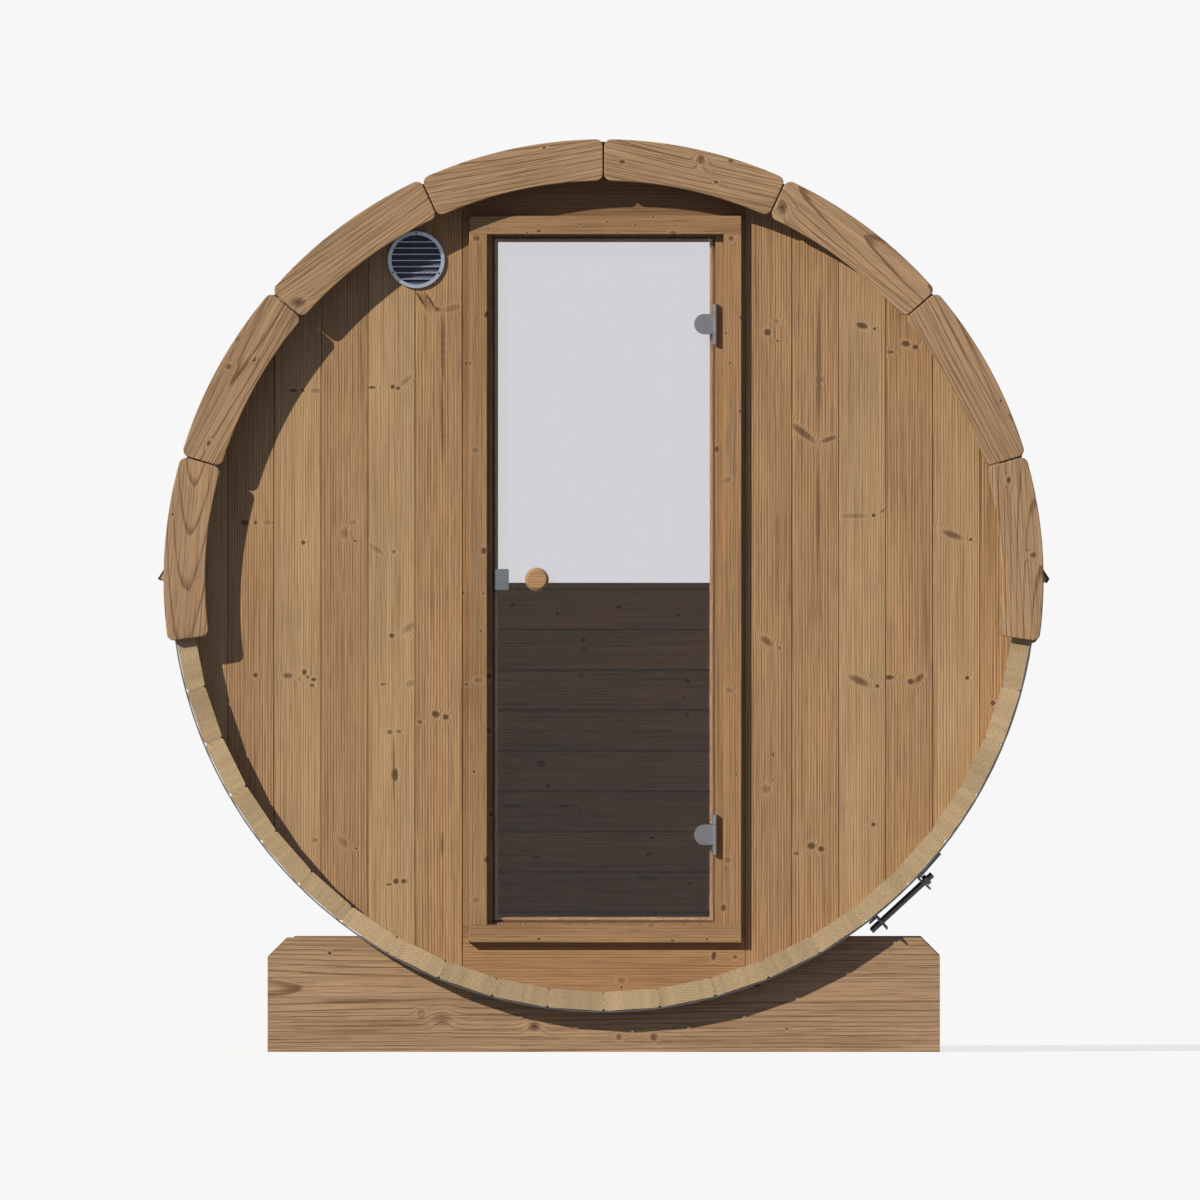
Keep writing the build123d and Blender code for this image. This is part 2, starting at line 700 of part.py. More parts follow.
bearer_pitch = (floor_back - floor_front - 2 * floor_bearer_thickness) / (floor_bearer_count - 1)
bearer_top = -floor_drop - floor_slat_thickness
with BuildPart() as floor_bearers:
    for bearer in range(floor_bearer_count):
        bearer_back = floor_front + 3 * floor_bearer_thickness / 2 + bearer * bearer_pitch
        with BuildSketch(barrel_plane(bearer_back)):
            Circle(inner_apothem - seat_gap)
            with Locations((0, bearer_top - inner_apothem / 2)):
                Rectangle(floor_width, inner_apothem, mode=Mode.INTERSECT)
        extrude(amount=floor_bearer_thickness)
keep(floor_bearers, "floor_bearers")
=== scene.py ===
import math

import bmesh
import bpy
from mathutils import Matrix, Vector


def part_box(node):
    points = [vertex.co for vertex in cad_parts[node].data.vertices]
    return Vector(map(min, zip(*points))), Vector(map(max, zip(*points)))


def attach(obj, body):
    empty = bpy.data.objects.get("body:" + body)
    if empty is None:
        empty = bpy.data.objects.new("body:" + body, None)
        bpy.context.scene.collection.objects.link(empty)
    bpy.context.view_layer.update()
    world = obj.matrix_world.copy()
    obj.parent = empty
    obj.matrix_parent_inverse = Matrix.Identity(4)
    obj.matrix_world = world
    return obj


# Barrel sauna: materials, small trim pieces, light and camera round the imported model
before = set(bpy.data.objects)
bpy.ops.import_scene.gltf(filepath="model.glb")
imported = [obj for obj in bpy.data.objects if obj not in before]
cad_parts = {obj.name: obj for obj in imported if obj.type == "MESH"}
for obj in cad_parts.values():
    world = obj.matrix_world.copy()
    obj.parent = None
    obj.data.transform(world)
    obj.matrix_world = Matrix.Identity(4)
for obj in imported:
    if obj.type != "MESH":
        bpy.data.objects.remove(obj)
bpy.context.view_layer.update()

# The view: the photograph is square, and nearly without perspective. The camera stands far away, and
# in line with the tensioners and the cradles' top, so that the rear ones hide behind the front ones
FRAME_PIXELS = 1200
METRES_PER_PIXEL = 0.0022
AXIS_PIXEL_X = 603.6
AXIS_PIXEL_Y = 579.3
SENSOR = 0.036
LENS = 1.65
CAMERA_X = 0.66
CAMERA_Z = 0.50
CLIP_START = 1.0
MILLIMETRES = 1000

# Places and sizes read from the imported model
HOOP_LOW, HOOP_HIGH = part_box("hoop_front")
REAR_HOOP_LOW, REAR_HOOP_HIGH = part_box("hoop_rear")
AXIS_Z = (HOOP_LOW.z + HOOP_HIGH.z) / 2
HOOP_RADIUS = (HOOP_HIGH.z - HOOP_LOW.z) / 2
FRONT_END_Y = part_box("front_arch_1")[1].y
REAR_END_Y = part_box("rear_arch")[0].y
WALL_FACE_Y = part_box("front_header")[0].y
HEADER_HALF_BOARDS = 3
BOARD_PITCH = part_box("front_header")[1].x / HEADER_HALF_BOARDS
ROOF_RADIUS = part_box("roof_covering")[1].z - AXIS_Z
REAR_TOP_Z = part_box("rear_boards")[1].z
CASING_LOW, CASING_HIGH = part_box("door_casing")
LEAF_LOW, LEAF_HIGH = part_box("door_glass")
VENT_LOW, VENT_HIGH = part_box("vent")
CRADLE_LOW, CRADLE_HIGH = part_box("cradle_front")
ARCH_FACE_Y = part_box("front_arch_1")[0].y
REAR_FACE_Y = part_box("rear_boards")[0].y
FLOOR_TOP_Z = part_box("floor_slats")[1].z

# Construction sizes that the wood grain follows, in metres and degrees
TOP_ANGLE = 90
FULL_TURN = 360.0
STAVE_STEP = 7.5
ARCH_STEP = 24.55
ARCH_HALF_COUNT = 4
ARCH_START = TOP_ANGLE - ARCH_HALF_COUNT * ARCH_STEP
ARCH_MIDDLE_RADIUS = 0.922
CASING_FACE = 0.040
REBATE_MARGIN = 0.005
STOP_MARGIN = 0.010
REAR_RAIL = 0.1046
REAR_PITCH = 0.0902
SLAT_PITCH = 0.098

# Roof shingles: courses of felt tabs on the roof covering, with caps along the ridge
COURSES = 12
EAVE_ANGLE = 3.5
COURSE_ANGLE = (TOP_ANGLE - EAVE_ANGLE) / COURSES
LAP_ANGLE = 0.6
TAB_WIDTH = 0.30
TAB_SLOT = 0.006
TAB_THICKNESS = 0.0042
ROOF_GAP = 0.0003
TAB_STEPS = 4
CAP_ANGLE = 5.0
CAP_COUNT = 9

# Threads on the tensioner rods
ROD_RADIUS = 0.006
ROD_RISE = 0.0168
ROD_OFFSET = 0.0385
ROD_ENDS = (0.029, 0.027)
ROD_STAVE_ANGLES = (-48.75, -41.25)
THREAD_PITCH = 0.00175
THREAD_HEIGHT = 0.0004
THREAD_STEPS = 12
THREAD_FOOT_SHARE = 0.45
THREAD_LAND_SHARE = 0.08

# Black felt strips behind the two upright joints between the wall boards and the strip with the door: they
# block the view through the gaps, and their black stands in for the shade in the joints
SHADE_STRIP_SHARE = 0.8
SHADE_STRIP_DEPTH = 0.012

# Screws that hold the vent: their profile gives shares of the radius and of the dome's height
SCREW_RADIUS = 0.0024
SCREW_DOME = 0.0012
SCREW_CIRCLE = 0.0585
SCREW_ANGLES = (90, 209, -31)
SCREW_SIDES = 20
SCREW_PROFILE_SHARES = ((1.0, 0.0), (0.92, 0.45), (0.66, 0.85), (0.36, 1.0), (0.32, 0.35))

# Light: one sun over the viewer's left shoulder, a weak blue sky, and white seen all round
SUN_TRAVEL = Vector((0.599, 0.663, -0.449))
SUN_STRENGTH = 4.0
SUN_COLOR = (1.0, 0.975, 0.94)
SUN_ANGLE = math.radians(0.8)
SKY_COLOR = (0.19, 0.25, 0.43)
WHITE = (1, 1, 1)
BACKGROUND = 0.93
FLOOR_SHARE = 0.22
FLOOR_ROUGH_SHARE = 0.9
FLOOR_REACH = 30.0

# How boards were cut from the log: rings per metre and where each turns dark, the depth of the pith below
# the face with how it differs, drifts and tilts, its place beside the middle, and the rings' waviness
QUARTER_CUT = {
    "rings": 165.0, "edge": 0.25, "pith": 0.010, "differ": 0.020, "drift": 0.006, "tilt": 0.0,
    "tilt_differ": 0.008, "beside": 0.07, "beside_differ": 0.08, "wave": 0.0025,
}
ARCH_CUT = {
    "rings": 120.0, "edge": 0.74, "pith": 0.030, "differ": 0.050, "drift": 0.030, "tilt": 0.04,
    "tilt_differ": 0.06, "beside": -0.080, "beside_differ": 0.10, "wave": 0.0045,
}
CRADLE_CUT = {
    "rings": 150.0, "edge": 0.72, "pith": 0.075, "differ": 0.020, "drift": 0.022, "tilt": 0.012,
    "tilt_differ": 0.02, "beside": -0.02, "beside_differ": 0.03, "wave": 0.0035,
}

# Where in a ring the late wood is full, and where it drops again, and how much of a point's depth counts
RING_FULL_SHARE = 0.94
RING_DROP_SHARE = 0.96
DEPTH_SHARE = 0.5

# Rings bend round a knot: by how many rings, and how fast that falls off
BEND_RINGS = 1.8
BEND_FALL = 0.4

# Noises of the grain, in cells per metre along and across the board, and how far chance sets boards apart
WANDER_SCALES = (0.9, 30.0)
SWAY_SCALES = (3.5, 22.0)
FIBRE_SCALES = (14.0, 600.0)
STREAK_SCALES = (3.0, 300.0)
BAND_SCALES = (0.8, 45.0)
CLOUD_SCALES = (2.2, 9.0)
RUN_SPREAD = 40.0

# Ramps, each as the values where it starts and ends, and the shares that it gives there
MIDDLE_SHARES = (0.3, 0.7)
LINE_BAND_SHARES = (0.25, 0.75, 0.35, 1.0)
STREAK_DARK_SHARES = (0.44, 0.68, 0.0, 0.62)
FIBRE_DARK_SHARES = (0.46, 0.70, 0.0, 0.45)
CLOUD_TONE_SHARES = (0.25, 0.75, 0.92, 1.07)
BAND_TONE_SHARES = (0.30, 0.70, -0.09, 0.09)
HALO_OUTER_SHARES = (2.3, 1.5, 0.0, 0.28)
HALO_INNER_SHARES = (0.9, 1.4)
HALO_STREAK_SHARES = (0.42, 0.60)
WOOD_ROUGH_SHARES = (0.3, 0.8, 0.72, 0.58)
END_FACE_SHARES = (0.7, 0.9)
END_RING_SHARES = (0.40, 0.92)
END_DROP_SHARES = (1.0, 0.95)
END_BREAK_SHARES = (0.38, 0.62, 0.25, 0.85)
PORE_DARK_SHARES = (0.42, 0.75, 0.0, 0.50)
METAL_PATCH_SHARES = (0.45, 0.75, 0.0, 0.3)
WEAVE_SHARES = (-0.6, 0.6)
GRIT_SPECK_SHARES = (0.35, 0.75)
FELT_DUST_SHARES = (0.4, 0.7, 0.0, 0.35)
TAB_TONE_SHARES = (0.0, 1.0, 0.75, 1.35)
SMEAR_ROUGH_SHARES = (0.3, 0.8, 0.0, 0.015)

# End grain: rings per metre, how far aside and below the pith may lie, and the noise that breaks the rings
END_RINGS = 170.0
END_SPREAD = 0.45
END_DEPTH = 0.08
END_BREAK = 1.3
END_BREAK_SCALE = 130.0
PORE_SCALE = 420.0

# Knots strewn by chance: spacing along the board, length and width. Then the share of its row that a knot
# takes, how far it strays, the smallest one, and the jump that keeps a board's knots its own
LARGE_KNOTS = (0.50, 0.013, 0.0075)
SMALL_KNOTS = (0.10, 0.0055, 0.0040)
KNOT_ROW_SHARE = 0.045
KNOT_SCATTER_SHARE = 0.8
SMALLEST_KNOT_SHARE = 0.45
BOARD_JUMP = 7.3

# Marks: where the dark starts and is full, in the mark's own radii, and how dark it gets. A mark keeps
# to its own board by a narrow reach in board numbers. The other keys set upright boards apart from level
# ones, and front boards from rear ones. A knot's eye has rings
MARK_SHADE_SHARES = {
    "dark": (1.20, 0.60, 0.96),
    "plain": (1.20, 0.45, 0.76),
    "faint": (1.30, 0.30, 0.42),
    "streaks": (1.15, 0.35, 0.66),
}
FAR = 50.0
BOARD_KEY = 0.02
UPRIGHT_KEY = 3.0
SIDE_KEY = 0.25
EYE_RINGS = 2.2

# Painted shade in notches, seams, the door rebate and the vent screen: where each starts and is full, in
# metres, and how dark it gets
NOTCH_START = 0.0570
NOTCH_BLUR = 0.001
NOTCH_DEPTHS = (0.0085, 0.0070)
NOTCH_SHADE_SHARE = 0.94
SEAM_EDGES = (0.004, 0.001)
SEAM_SHADE_SHARE = 0.7
REBATE_BLUR = 0.001
# Painted shade in the gap round the door leaf, and on the stops: darker on the shaded latch side and top,
# paler on the sunny sides
LEAF_GAP_SHADE_EDGES = (-0.0008, 0.0002)
LEAF_GAP_SHADE_SHARE = 0.94
STOP_SHADED_SIDE_SHARE = 0.58
STOP_SUNNY_SIDE_SHARE = 0.18
SCREEN_EDGES = (0.0012, 0.0006)

# Relief, roughness and gloss of the surfaces, and the scales of their noises in cells per metre
WOOD_RELIEF = 0.0006
WOOD_BUMP_SHARE = 0.25
FIBRE_BUMP_SHARE = 0.6
STREAK_BUMP_SHARE = 0.5
WOOD_GLOSS_SHARE = 0.25
METAL_RELIEF = 0.0003
METAL_BUMP_SHARE = 0.12
METAL_ROUGH_SHARES = (0.85, 1.2)
METAL_PATCH_SCALE = 14.0
VENT_RELIEF = 0.0002
VENT_BUMP_SHARE = 0.10
VENT_METAL_SHARES = (0.55, 0.0)
VENT_ROUGH_SHARES = (0.42, 0.85)
VENT_GRAIN_SCALE = 260.0
WEAVE_TURN = 3500.0
FELT_RELIEF = 0.0012
FELT_BUMP_SHARE = 0.5
FELT_ROUGH_SHARE = 0.92
FELT_GLOSS_SHARE = 0.2
GRIT_SCALE = 900.0
FELT_PATCH_SCALE = 5.0
COURSE_JUMP = 17.3
SMEAR_SCALE = 3.0
GLASS_IOR = 1.30

# Brush marks and cast grain of the metals, in cells per metre along x, y and z
HOOP_BRUSH = (40.0, 900.0, 40.0)
CAST_GRAIN = (300.0, 300.0, 300.0)
UPRIGHT_BRUSH = (60.0, 60.0, 700.0)

# Colours: the woods as a light and a dark tone each, and the boards beside the door that keep the first pair
ORANGE_WOOD = ((0.437, 0.254, 0.110), (0.190, 0.097, 0.039))
YELLOW_WOOD = ((0.462, 0.294, 0.134), (0.262, 0.148, 0.061))
TRIM_WOOD = ((0.378, 0.216, 0.092), (0.185, 0.092, 0.035))
KNOB_WOOD = ((0.440, 0.255, 0.112), (0.270, 0.140, 0.055))
FRAME_WOOD = ((0.320, 0.180, 0.076), (0.170, 0.085, 0.032))
# The header above the door takes a darker tone: painted shade of the deep corner under the arch boards
SHADED_HEADER_WOOD = ((0.255, 0.140, 0.058), (0.130, 0.064, 0.024))
SILL_WOOD = ((0.370, 0.208, 0.088), (0.195, 0.096, 0.036))
ARCH_WOOD = ((0.404, 0.246, 0.120), (0.135, 0.068, 0.028))
CRADLE_WOOD = ((0.406, 0.252, 0.127), (0.135, 0.070, 0.030))
STAVE_WOOD = ((0.415, 0.255, 0.118), (0.225, 0.116, 0.046))
FIRST_TONE_BOARDS = 4.0
# Dark of knots, also the colour of the painted shade in notches, seams and the door rebate
KNOT_AND_SHADE_DARK = (0.045, 0.020, 0.008, 1)
KNOT_RED = (0.105, 0.050, 0.020, 1)
END_LIGHT = (0.455, 0.320, 0.165, 1)
END_DARK = (0.290, 0.185, 0.085, 1)
HOOP_GREY = (0.17, 0.172, 0.185)
STEEL_GREY = (0.070, 0.073, 0.080)
HINGE_GREY = (0.170, 0.170, 0.176)
LATCH_GREY = (0.142, 0.152, 0.168)
BRUSH_DARK_SHARE = 0.82
BRUSH_LIGHT_SHARE = 1.12
PATCH_DARK_SHARE = 0.72
SATIN_DARK = (0.255, 0.280, 0.335, 1)
SATIN_LIGHT = (0.325, 0.360, 0.430, 1)
# The vent's insect screen: dark colours that are painted shade of the hollow behind the blades
SHADED_SCREEN_DARK = (0.036, 0.043, 0.060, 1)
SHADED_SCREEN_LIGHT = (0.072, 0.083, 0.110, 1)
FELT_BLACK = (0.013, 0.013, 0.014, 1)
FELT_SPECK = (0.080, 0.080, 0.083, 1)
FELT_DUST = (0.045, 0.043, 0.040, 1)
GLASS_TINT = (0.8275, 0.823, 0.845, 1)
GLASS_SHADOW = (0.82, 0.82, 0.84, 1)

# Sockets of Blender's Mix node for two colours
MIX_FIRST = 6
MIX_SECOND = 7
MIX_RESULT = 2


class Graph:
    """Builds the nodes of one material."""

    def __init__(self, name):
        self.material = bpy.data.materials.new(name)
        self.material.use_nodes = True
        self.tree = self.material.node_tree
        self.shader = self.tree.nodes["Principled BSDF"]

    def add(self, kind, **settings):
        node = self.tree.nodes.new("ShaderNode" + kind)
        for key, value in settings.items():
            setattr(node, key, value)
        return node

    def plug(self, socket, value):
        if isinstance(value, bpy.types.NodeSocket):
            self.tree.links.new(value, socket)
        else:
            socket.default_value = value

    def math(self, operation, *values):
        node = self.add("Math", operation=operation)
        for socket, value in zip(node.inputs, values):
            self.plug(socket, value)
        return node.outputs[0]

    def sum(self, first, *others):
        for other in others:
            first = self.math("ADD", first, other)
        return first

    def times(self, first, *others):
        for other in others:
            first = self.math("MULTIPLY", first, other)
        return first

    def minus(self, first, second):
        return self.math("SUBTRACT", first, second)

    def most(self, first, *others):
        for other in others:
            first = self.math("MAXIMUM", first, other)
        return first

    def hypotenuse(self, first, second):
        return self.math("SQRT", self.sum(self.times(first, first), self.times(second, second)))

    def row(self, value, pitch):
        return self.math("FLOOR", self.math("DIVIDE", value, pitch))

    def middle(self, number, pitch=1.0):
        return self.times(self.sum(number, 0.5), pitch)

    def centred(self, draw):
        return self.minus(draw, 0.5)

    def odd(self, number):
        return self.math("ABSOLUTE", self.math("MODULO", number, 2.0))

    def vector(self, operation, *values):
        node = self.add("VectorMath", operation=operation)
        for socket, value in zip(node.inputs, values):
            self.plug(socket, value)
        return node.outputs["Value" if operation == "LENGTH" else "Vector"]

    def combine(self, x, y, z):
        node = self.add("CombineXYZ")
        for socket, value in zip(node.inputs, (x, y, z)):
            self.plug(socket, value)
        return node.outputs[0]

    def separate(self, vector):
        node = self.add("SeparateXYZ")
        self.plug(node.inputs[0], vector)
        return node.outputs[0], node.outputs[1], node.outputs[2]

    def position(self):
        return self.separate(self.add("TexCoord").outputs["Object"])

    def normal(self):
        return self.separate(self.add("NewGeometry").outputs["True Normal"])

    def noise(self, vector, scale=1.0, detail=2.0, roughness=0.5):
        node = self.add("TexNoise")
        self.plug(node.inputs["Vector"], vector)
        node.inputs["Scale"].default_value = scale
        node.inputs["Detail"].default_value = detail
        node.inputs["Roughness"].default_value = roughness
        return node.outputs[0]

    def random(self, number):
        node = self.add("TexWhiteNoise", noise_dimensions="1D")
        self.plug(node.inputs["W"], number)
        return self.separate(node.outputs["Color"])

    def ramp(self, value, low, high, start=0.0, end=1.0):
        node = self.add("MapRange", interpolation_type="SMOOTHSTEP")
        for socket, item in zip(node.inputs, (value, low, high, start, end)):
            self.plug(socket, item)
        return node.outputs[0]

    def mix(self, factor, first, second, blend="MIX"):
        node = self.add("Mix", data_type="RGBA", blend_type=blend)
        self.plug(node.inputs[0], factor)
        self.plug(node.inputs[MIX_FIRST], first)
        self.plug(node.inputs[MIX_SECOND], second)
        return node.outputs[MIX_RESULT]

    def toned(self, color, tone):
        return self.mix(1.0, color, self.combine(tone, tone, tone), blend="MULTIPLY")

    def bump(self, height, strength, distance):
        node = self.add("Bump")
        node.inputs["Strength"].default_value = strength
        node.inputs["Distance"].default_value = distance
        self.plug(node.inputs["Height"], height)
        self.plug(self.shader.inputs["Normal"], node.outputs[0])

    def set(self, **values):
        for key, value in values.items():
            self.plug(self.shader.inputs[key.replace("_", " ")], value)


# Wood: where the grain of each kind of board runs, as along, across and depth, and a board number
def upright_boards(g):
    x, y, z = g.position()
    number = g.row(x, BOARD_PITCH)
    return z, g.minus(x, g.middle(number, BOARD_PITCH)), g.minus(y, WALL_FACE_Y), number


def upright_number(x, z):
    return math.floor(x / BOARD_PITCH)


def level_boards(g):
    x, y, z = g.position()
    drop = g.minus(REAR_TOP_Z - REAR_RAIL, z)
    number = g.row(drop, REAR_PITCH)
    return x, g.minus(drop, g.middle(number, REAR_PITCH)), g.minus(y, REAR_FACE_Y), number


def level_number(x, z):
    return math.floor((REAR_TOP_Z - REAR_RAIL - z) / REAR_PITCH)


def single_plank(g):
    x, y, z = g.position()
    up = g.minus(z, AXIS_Z)
    return x, up, g.minus(y, WALL_FACE_Y), g.math("SIGN", up)


def plank_number(x, z):
    return 1 if z > AXIS_Z else -1


def cradle_planks(g):
    x, y, z = g.position()
    depth = g.minus(-CRADLE_LOW.y, g.math("ABSOLUTE", y))
    return x, g.minus(z, CRADLE_HIGH.z / 2), depth, g.math("SIGN", y)


def cradle_number(x, z):
    return -1


def polar(g):
    x, y, z = g.position()
    up = g.minus(z, AXIS_Z)
    angle = g.times(g.math("ARCTAN2", up, x), math.degrees(1))
    return angle, g.hypotenuse(x, up), y


def barrel_staves(g):
    angle, radius, y = polar(g)
    number = g.row(angle, STAVE_STEP)
    turn = g.times(g.minus(angle, g.middle(number, STAVE_STEP)), math.radians(1))
    return y, g.times(turn, radius), g.minus(HOOP_RADIUS, radius), number


def arch_boards(g):
    angle, radius, y = polar(g)
    turned = g.math("MODULO", g.sum(angle, FULL_TURN - ARCH_START), FULL_TURN)
    number = g.row(turned, ARCH_STEP)
    turn = g.times(g.minus(turned, g.middle(number, ARCH_STEP)), math.radians(1))
    along = g.times(g.math("SINE", turn), radius)
    across = g.minus(g.times(g.math("COSINE", turn), radius), ARCH_MIDDLE_RADIUS)
    depth = g.minus(-ARCH_FACE_Y, g.math("ABSOLUTE", y))
    return along, across, depth, g.sum(number, g.times(g.math("SIGN", y), SIDE_KEY))


def arch_number(x, z):
    angle = math.degrees(math.atan2(z - AXIS_Z, x))
    return math.floor((angle - ARCH_START) % FULL_TURN / ARCH_STEP) - SIDE_KEY


def framed_boards(g):
    """Boards round the door: level ones at the top and bottom, upright ones between."""
    x, y, z = g.position()
    up = g.minus(z, AXIS_Z)
    half = CASING_HIGH.z - AXIS_Z
    level = g.math("GREATER_THAN", g.math("ABSOLUTE", up), half - CASING_FACE)
    upright = g.minus(1.0, level)
    along = g.sum(g.times(x, level), g.times(z, upright))
    over = g.minus(g.math("ABSOLUTE", up), half - CASING_FACE / 2)
    aside = g.minus(g.math("ABSOLUTE", x), CASING_HIGH.x - CASING_FACE / 2)
    across = g.sum(g.times(over, level), g.times(aside, upright))
    number = g.sum(g.times(g.math("SIGN", up), level), g.times(g.math("SIGN", x), UPRIGHT_KEY, upright))
    return along, across, g.minus(y, CASING_LOW.y), number


def framed_number(x, z):
    up = z - AXIS_Z
    if abs(up) > CASING_HIGH.z - AXIS_Z - CASING_FACE:
        return math.copysign(1, up)
    return math.copysign(UPRIGHT_KEY, x)


def floor_boards(g):
    x, y, z = g.position()
    number = g.math("ROUND", g.math("DIVIDE", x, SLAT_PITCH))
    return y, g.minus(x, g.times(number, SLAT_PITCH)), g.minus(FLOOR_TOP_Z, z), number


def lengthwise(g):
    x, y, z = g.position()
    return y, g.minus(z, AXIS_Z), g.minus(HOOP_RADIUS, g.math("ABSOLUTE", x)), g.math("SIGN", x)


# Marks in the wood, each as pixel place, length and width in pixels, and tilt in degrees
LEFT_WALL_MARKS = {
    "dark": [
        (292.8, 390.3, 9, 4, 0), (302.4, 390.3, 4, 4, 0), (392.3, 386.5, 4, 5, 0), (397.7, 388, 4, 4, 0),
        (371.6, 387.2, 8, 3, 0), (244.3, 522.4, 8, 6, 0), (255, 522.4, 3, 4, 0), (302.9, 542.3, 4, 5, 0),
        (354.4, 540.7, 2.5, 2.5, 0), (391.5, 635.6, 5, 5, 0), (255.2, 675, 5, 5, 0), (304.1, 672, 5, 6, 0),
        (307.3, 677, 3, 3, 0), (313.4, 679.4, 5, 4, 0), (435.2, 714, 8, 7, -35), (445.2, 716.9, 6, 6, 0),
        (420.5, 299, 19, 2.8, -57), (430.5, 301, 19, 2.6, -57),
        (394.5, 774.5, 7, 14, 0), (395.7, 881.3, 6, 6, 0), (403.3, 881.3, 5, 5, 0),
        (356.2, 848.5, 2.5, 2.5, 0),
    ],
    "plain": [
        (287.4, 675.5, 11, 6, 0), (311.6, 685.3, 6, 4, 0), (382.6, 684.2, 6, 3, 0),
        (419.7, 721.7, 6, 4, 0), (389.4, 732, 6, 5, 0), (398.7, 731.3, 5, 4, 0), (393.7, 551.6, 4, 4, 0),
        (388.6, 884.5, 7, 3, 0), (437, 309, 8, 5, -10),
    ],
    "faint": [
        (425.5, 301, 22, 10, -57), (315, 390.3, 10, 5, 0), (344.5, 532.8, 8, 10, 0),
        (352.5, 522, 6, 4, 0), (406, 380, 17, 5, 40),
        (452, 308, 18, 6, 15), (267.8, 522.4, 10, 4, 0), (376, 549, 18, 5, -35), (408.6, 627.6, 15, 7, 40),
        (299.4, 679, 4, 4, 0), (410.2, 683.4, 10, 6, 25), (314.1, 840.2, 5, 5, 0), (343.1, 842, 13, 7, -45),
    ],
    "streaks": [
        (442.7, 350, 92, 6, 90), (442, 420, 110, 5, 91), (464, 322, 44, 7, 90), (393.5, 772, 78, 3, 90),
        (442, 845, 32, 4, 90),
    ],
}
RIGHT_WALL_MARKS = {
    "dark": [
        (767.4, 332, 7, 7, 0), (777.3, 340.6, 2.5, 2.5, 0), (861.9, 325.3, 12, 6, -15),
        (874.7, 328.6, 3.5, 3.5, 0),
        (905.8, 343.5, 9, 6, -10), (915.5, 346.9, 6, 5, 0), (873.5, 515.2, 4, 4, 0), (970.9, 539.4, 4, 3, 20),
        (779.5, 647.8, 2.5, 2.5, 0), (877.2, 686, 4.5, 3.5, 0), (889.3, 677.3, 9, 5, 0),
        (910.8, 681.5, 7, 6, 0),
        (967.2, 677.8, 4.5, 4.5, 0), (992.9, 703, 5, 5, 0), (773, 754.4, 2, 5, 0), (772.9, 779.7, 2, 2, 0),
        (811.3, 845.8, 8, 7, 0), (821.2, 849, 6, 6, 0), (873.3, 824.5, 4.5, 4.5, 0),
    ],
    "plain": [
        (818.8, 379, 6, 8, 0), (803, 432.5, 30, 7, -38), (829, 439, 17, 5, 18), (882.6, 510.7, 6, 3, 45),
        (952.3, 534.7, 22, 7, -20), (766.6, 641.2, 14, 7, -40), (859.4, 680.7, 23, 8, -25),
        (919.1, 678.2, 12, 6, 50), (796.3, 853.5, 6, 4, 0), (890, 351.8, 7, 4, 0),
    ],
    "faint": [
        (776.5, 321, 6, 5, 0), (854, 515.6, 25, 5, 0), (765.7, 788.9, 9, 8, 0),
    ],
    "streaks": [
        (818.8, 357, 168, 6, 90), (818, 513, 142, 4.5, 90),
    ],
}
ARCH_MARKS = {
    "dark": [
        (622.2, 161.8, 6, 4, 0), (716, 182.2, 5, 3, -15), (254.6, 360, 6, 3, 60), (208.7, 443.4, 6, 3.5, 65),
        (173, 514.4, 2.5, 3, 0), (1008.8, 480.3, 4, 7, 0), (1000.9, 400.9, 2, 4, 0), (298.4, 302.3, 6, 5, 0),
        (782.4, 207.6, 5, 6, 0), (544.3, 147.4, 3.5, 2.5, 0),
    ],
    "plain": [
        (701, 159.4, 8, 10, 0), (730.9, 161.1, 7, 4, -20), (228.8, 366.6, 6, 6, 0), (1033.3, 555, 7, 6, 30),
        (298.4, 302.3, 15, 10, 10), (782.4, 207.6, 10, 15, 0),
    ],
    "faint": [
        (1011, 417.5, 14, 3, -62), (238, 339, 9, 4, 55),
    ],
    "streaks": [],
}
CASING_MARKS = {
    "dark": [
        (538.6, 230.7, 4.5, 3, 0), (527, 232.5, 2.5, 2, 0), (469.6, 362.8, 3, 3, 0), (473.7, 771.5, 3, 3, 0),
        (483, 593.5, 2.5, 2.5, 0), (730, 362.5, 2.5, 2.5, 0), (651, 944.3, 5, 2.5, 0),
        (538.7, 939, 4, 2.5, 0),
        (562.2, 948.4, 6, 4, 0), (635, 224.5, 2.5, 1.5, 0), (617.5, 232.5, 2.5, 1.5, 0),
    ],
    "plain": [
        (673, 232.5, 7, 3, 0), (476, 238, 7, 6, 0), (731, 238.2, 6, 5, 0), (488, 228, 3, 2, 0),
        (580, 224, 3, 2, 0), (653, 216.5, 3, 2, 0), (672.6, 940.5, 5, 3, 0), (480.5, 631, 3, 3, 0),
        (718.5, 301.5, 4, 2, 20), (725.5, 333, 3, 3, 0),
    ],
    "faint": [
        (478, 680, 8, 5, 0), (476, 900, 7, 5, 20), (729, 690, 7, 5, -20), (727, 480, 8, 5, 30),
        (475, 450, 7, 5, 0), (728, 860, 7, 6, 0),
    ],
    "streaks": [],
}
PLANK_MARKS = {
    "dark": [(621.3, 987.2, 2.5, 2.5, 0), (713.7, 955.7, 9, 5, 80)],
    "plain": [(735, 957, 5, 4, 0)],
    "faint": [(621, 980, 8, 5, 0)],
    "streaks": [],
}
CRADLE_MARKS = {
    "dark": [
        (329.4, 953.2, 4, 3.5, 0), (787, 1029, 2.5, 2.5, 0), (756.6, 985, 8, 4, 0), (534, 1026.5, 7, 6, 0),
    ],
    "plain": [(534, 1026.5, 13, 10, 0), (618.7, 1037.1, 6, 6, 0), (653.5, 1036.7, 8, 8, 0)],
    "faint": [(441.8, 1018.9, 18, 14, 0), (421, 1012, 8, 6, 0)],
    "streaks": [],
}
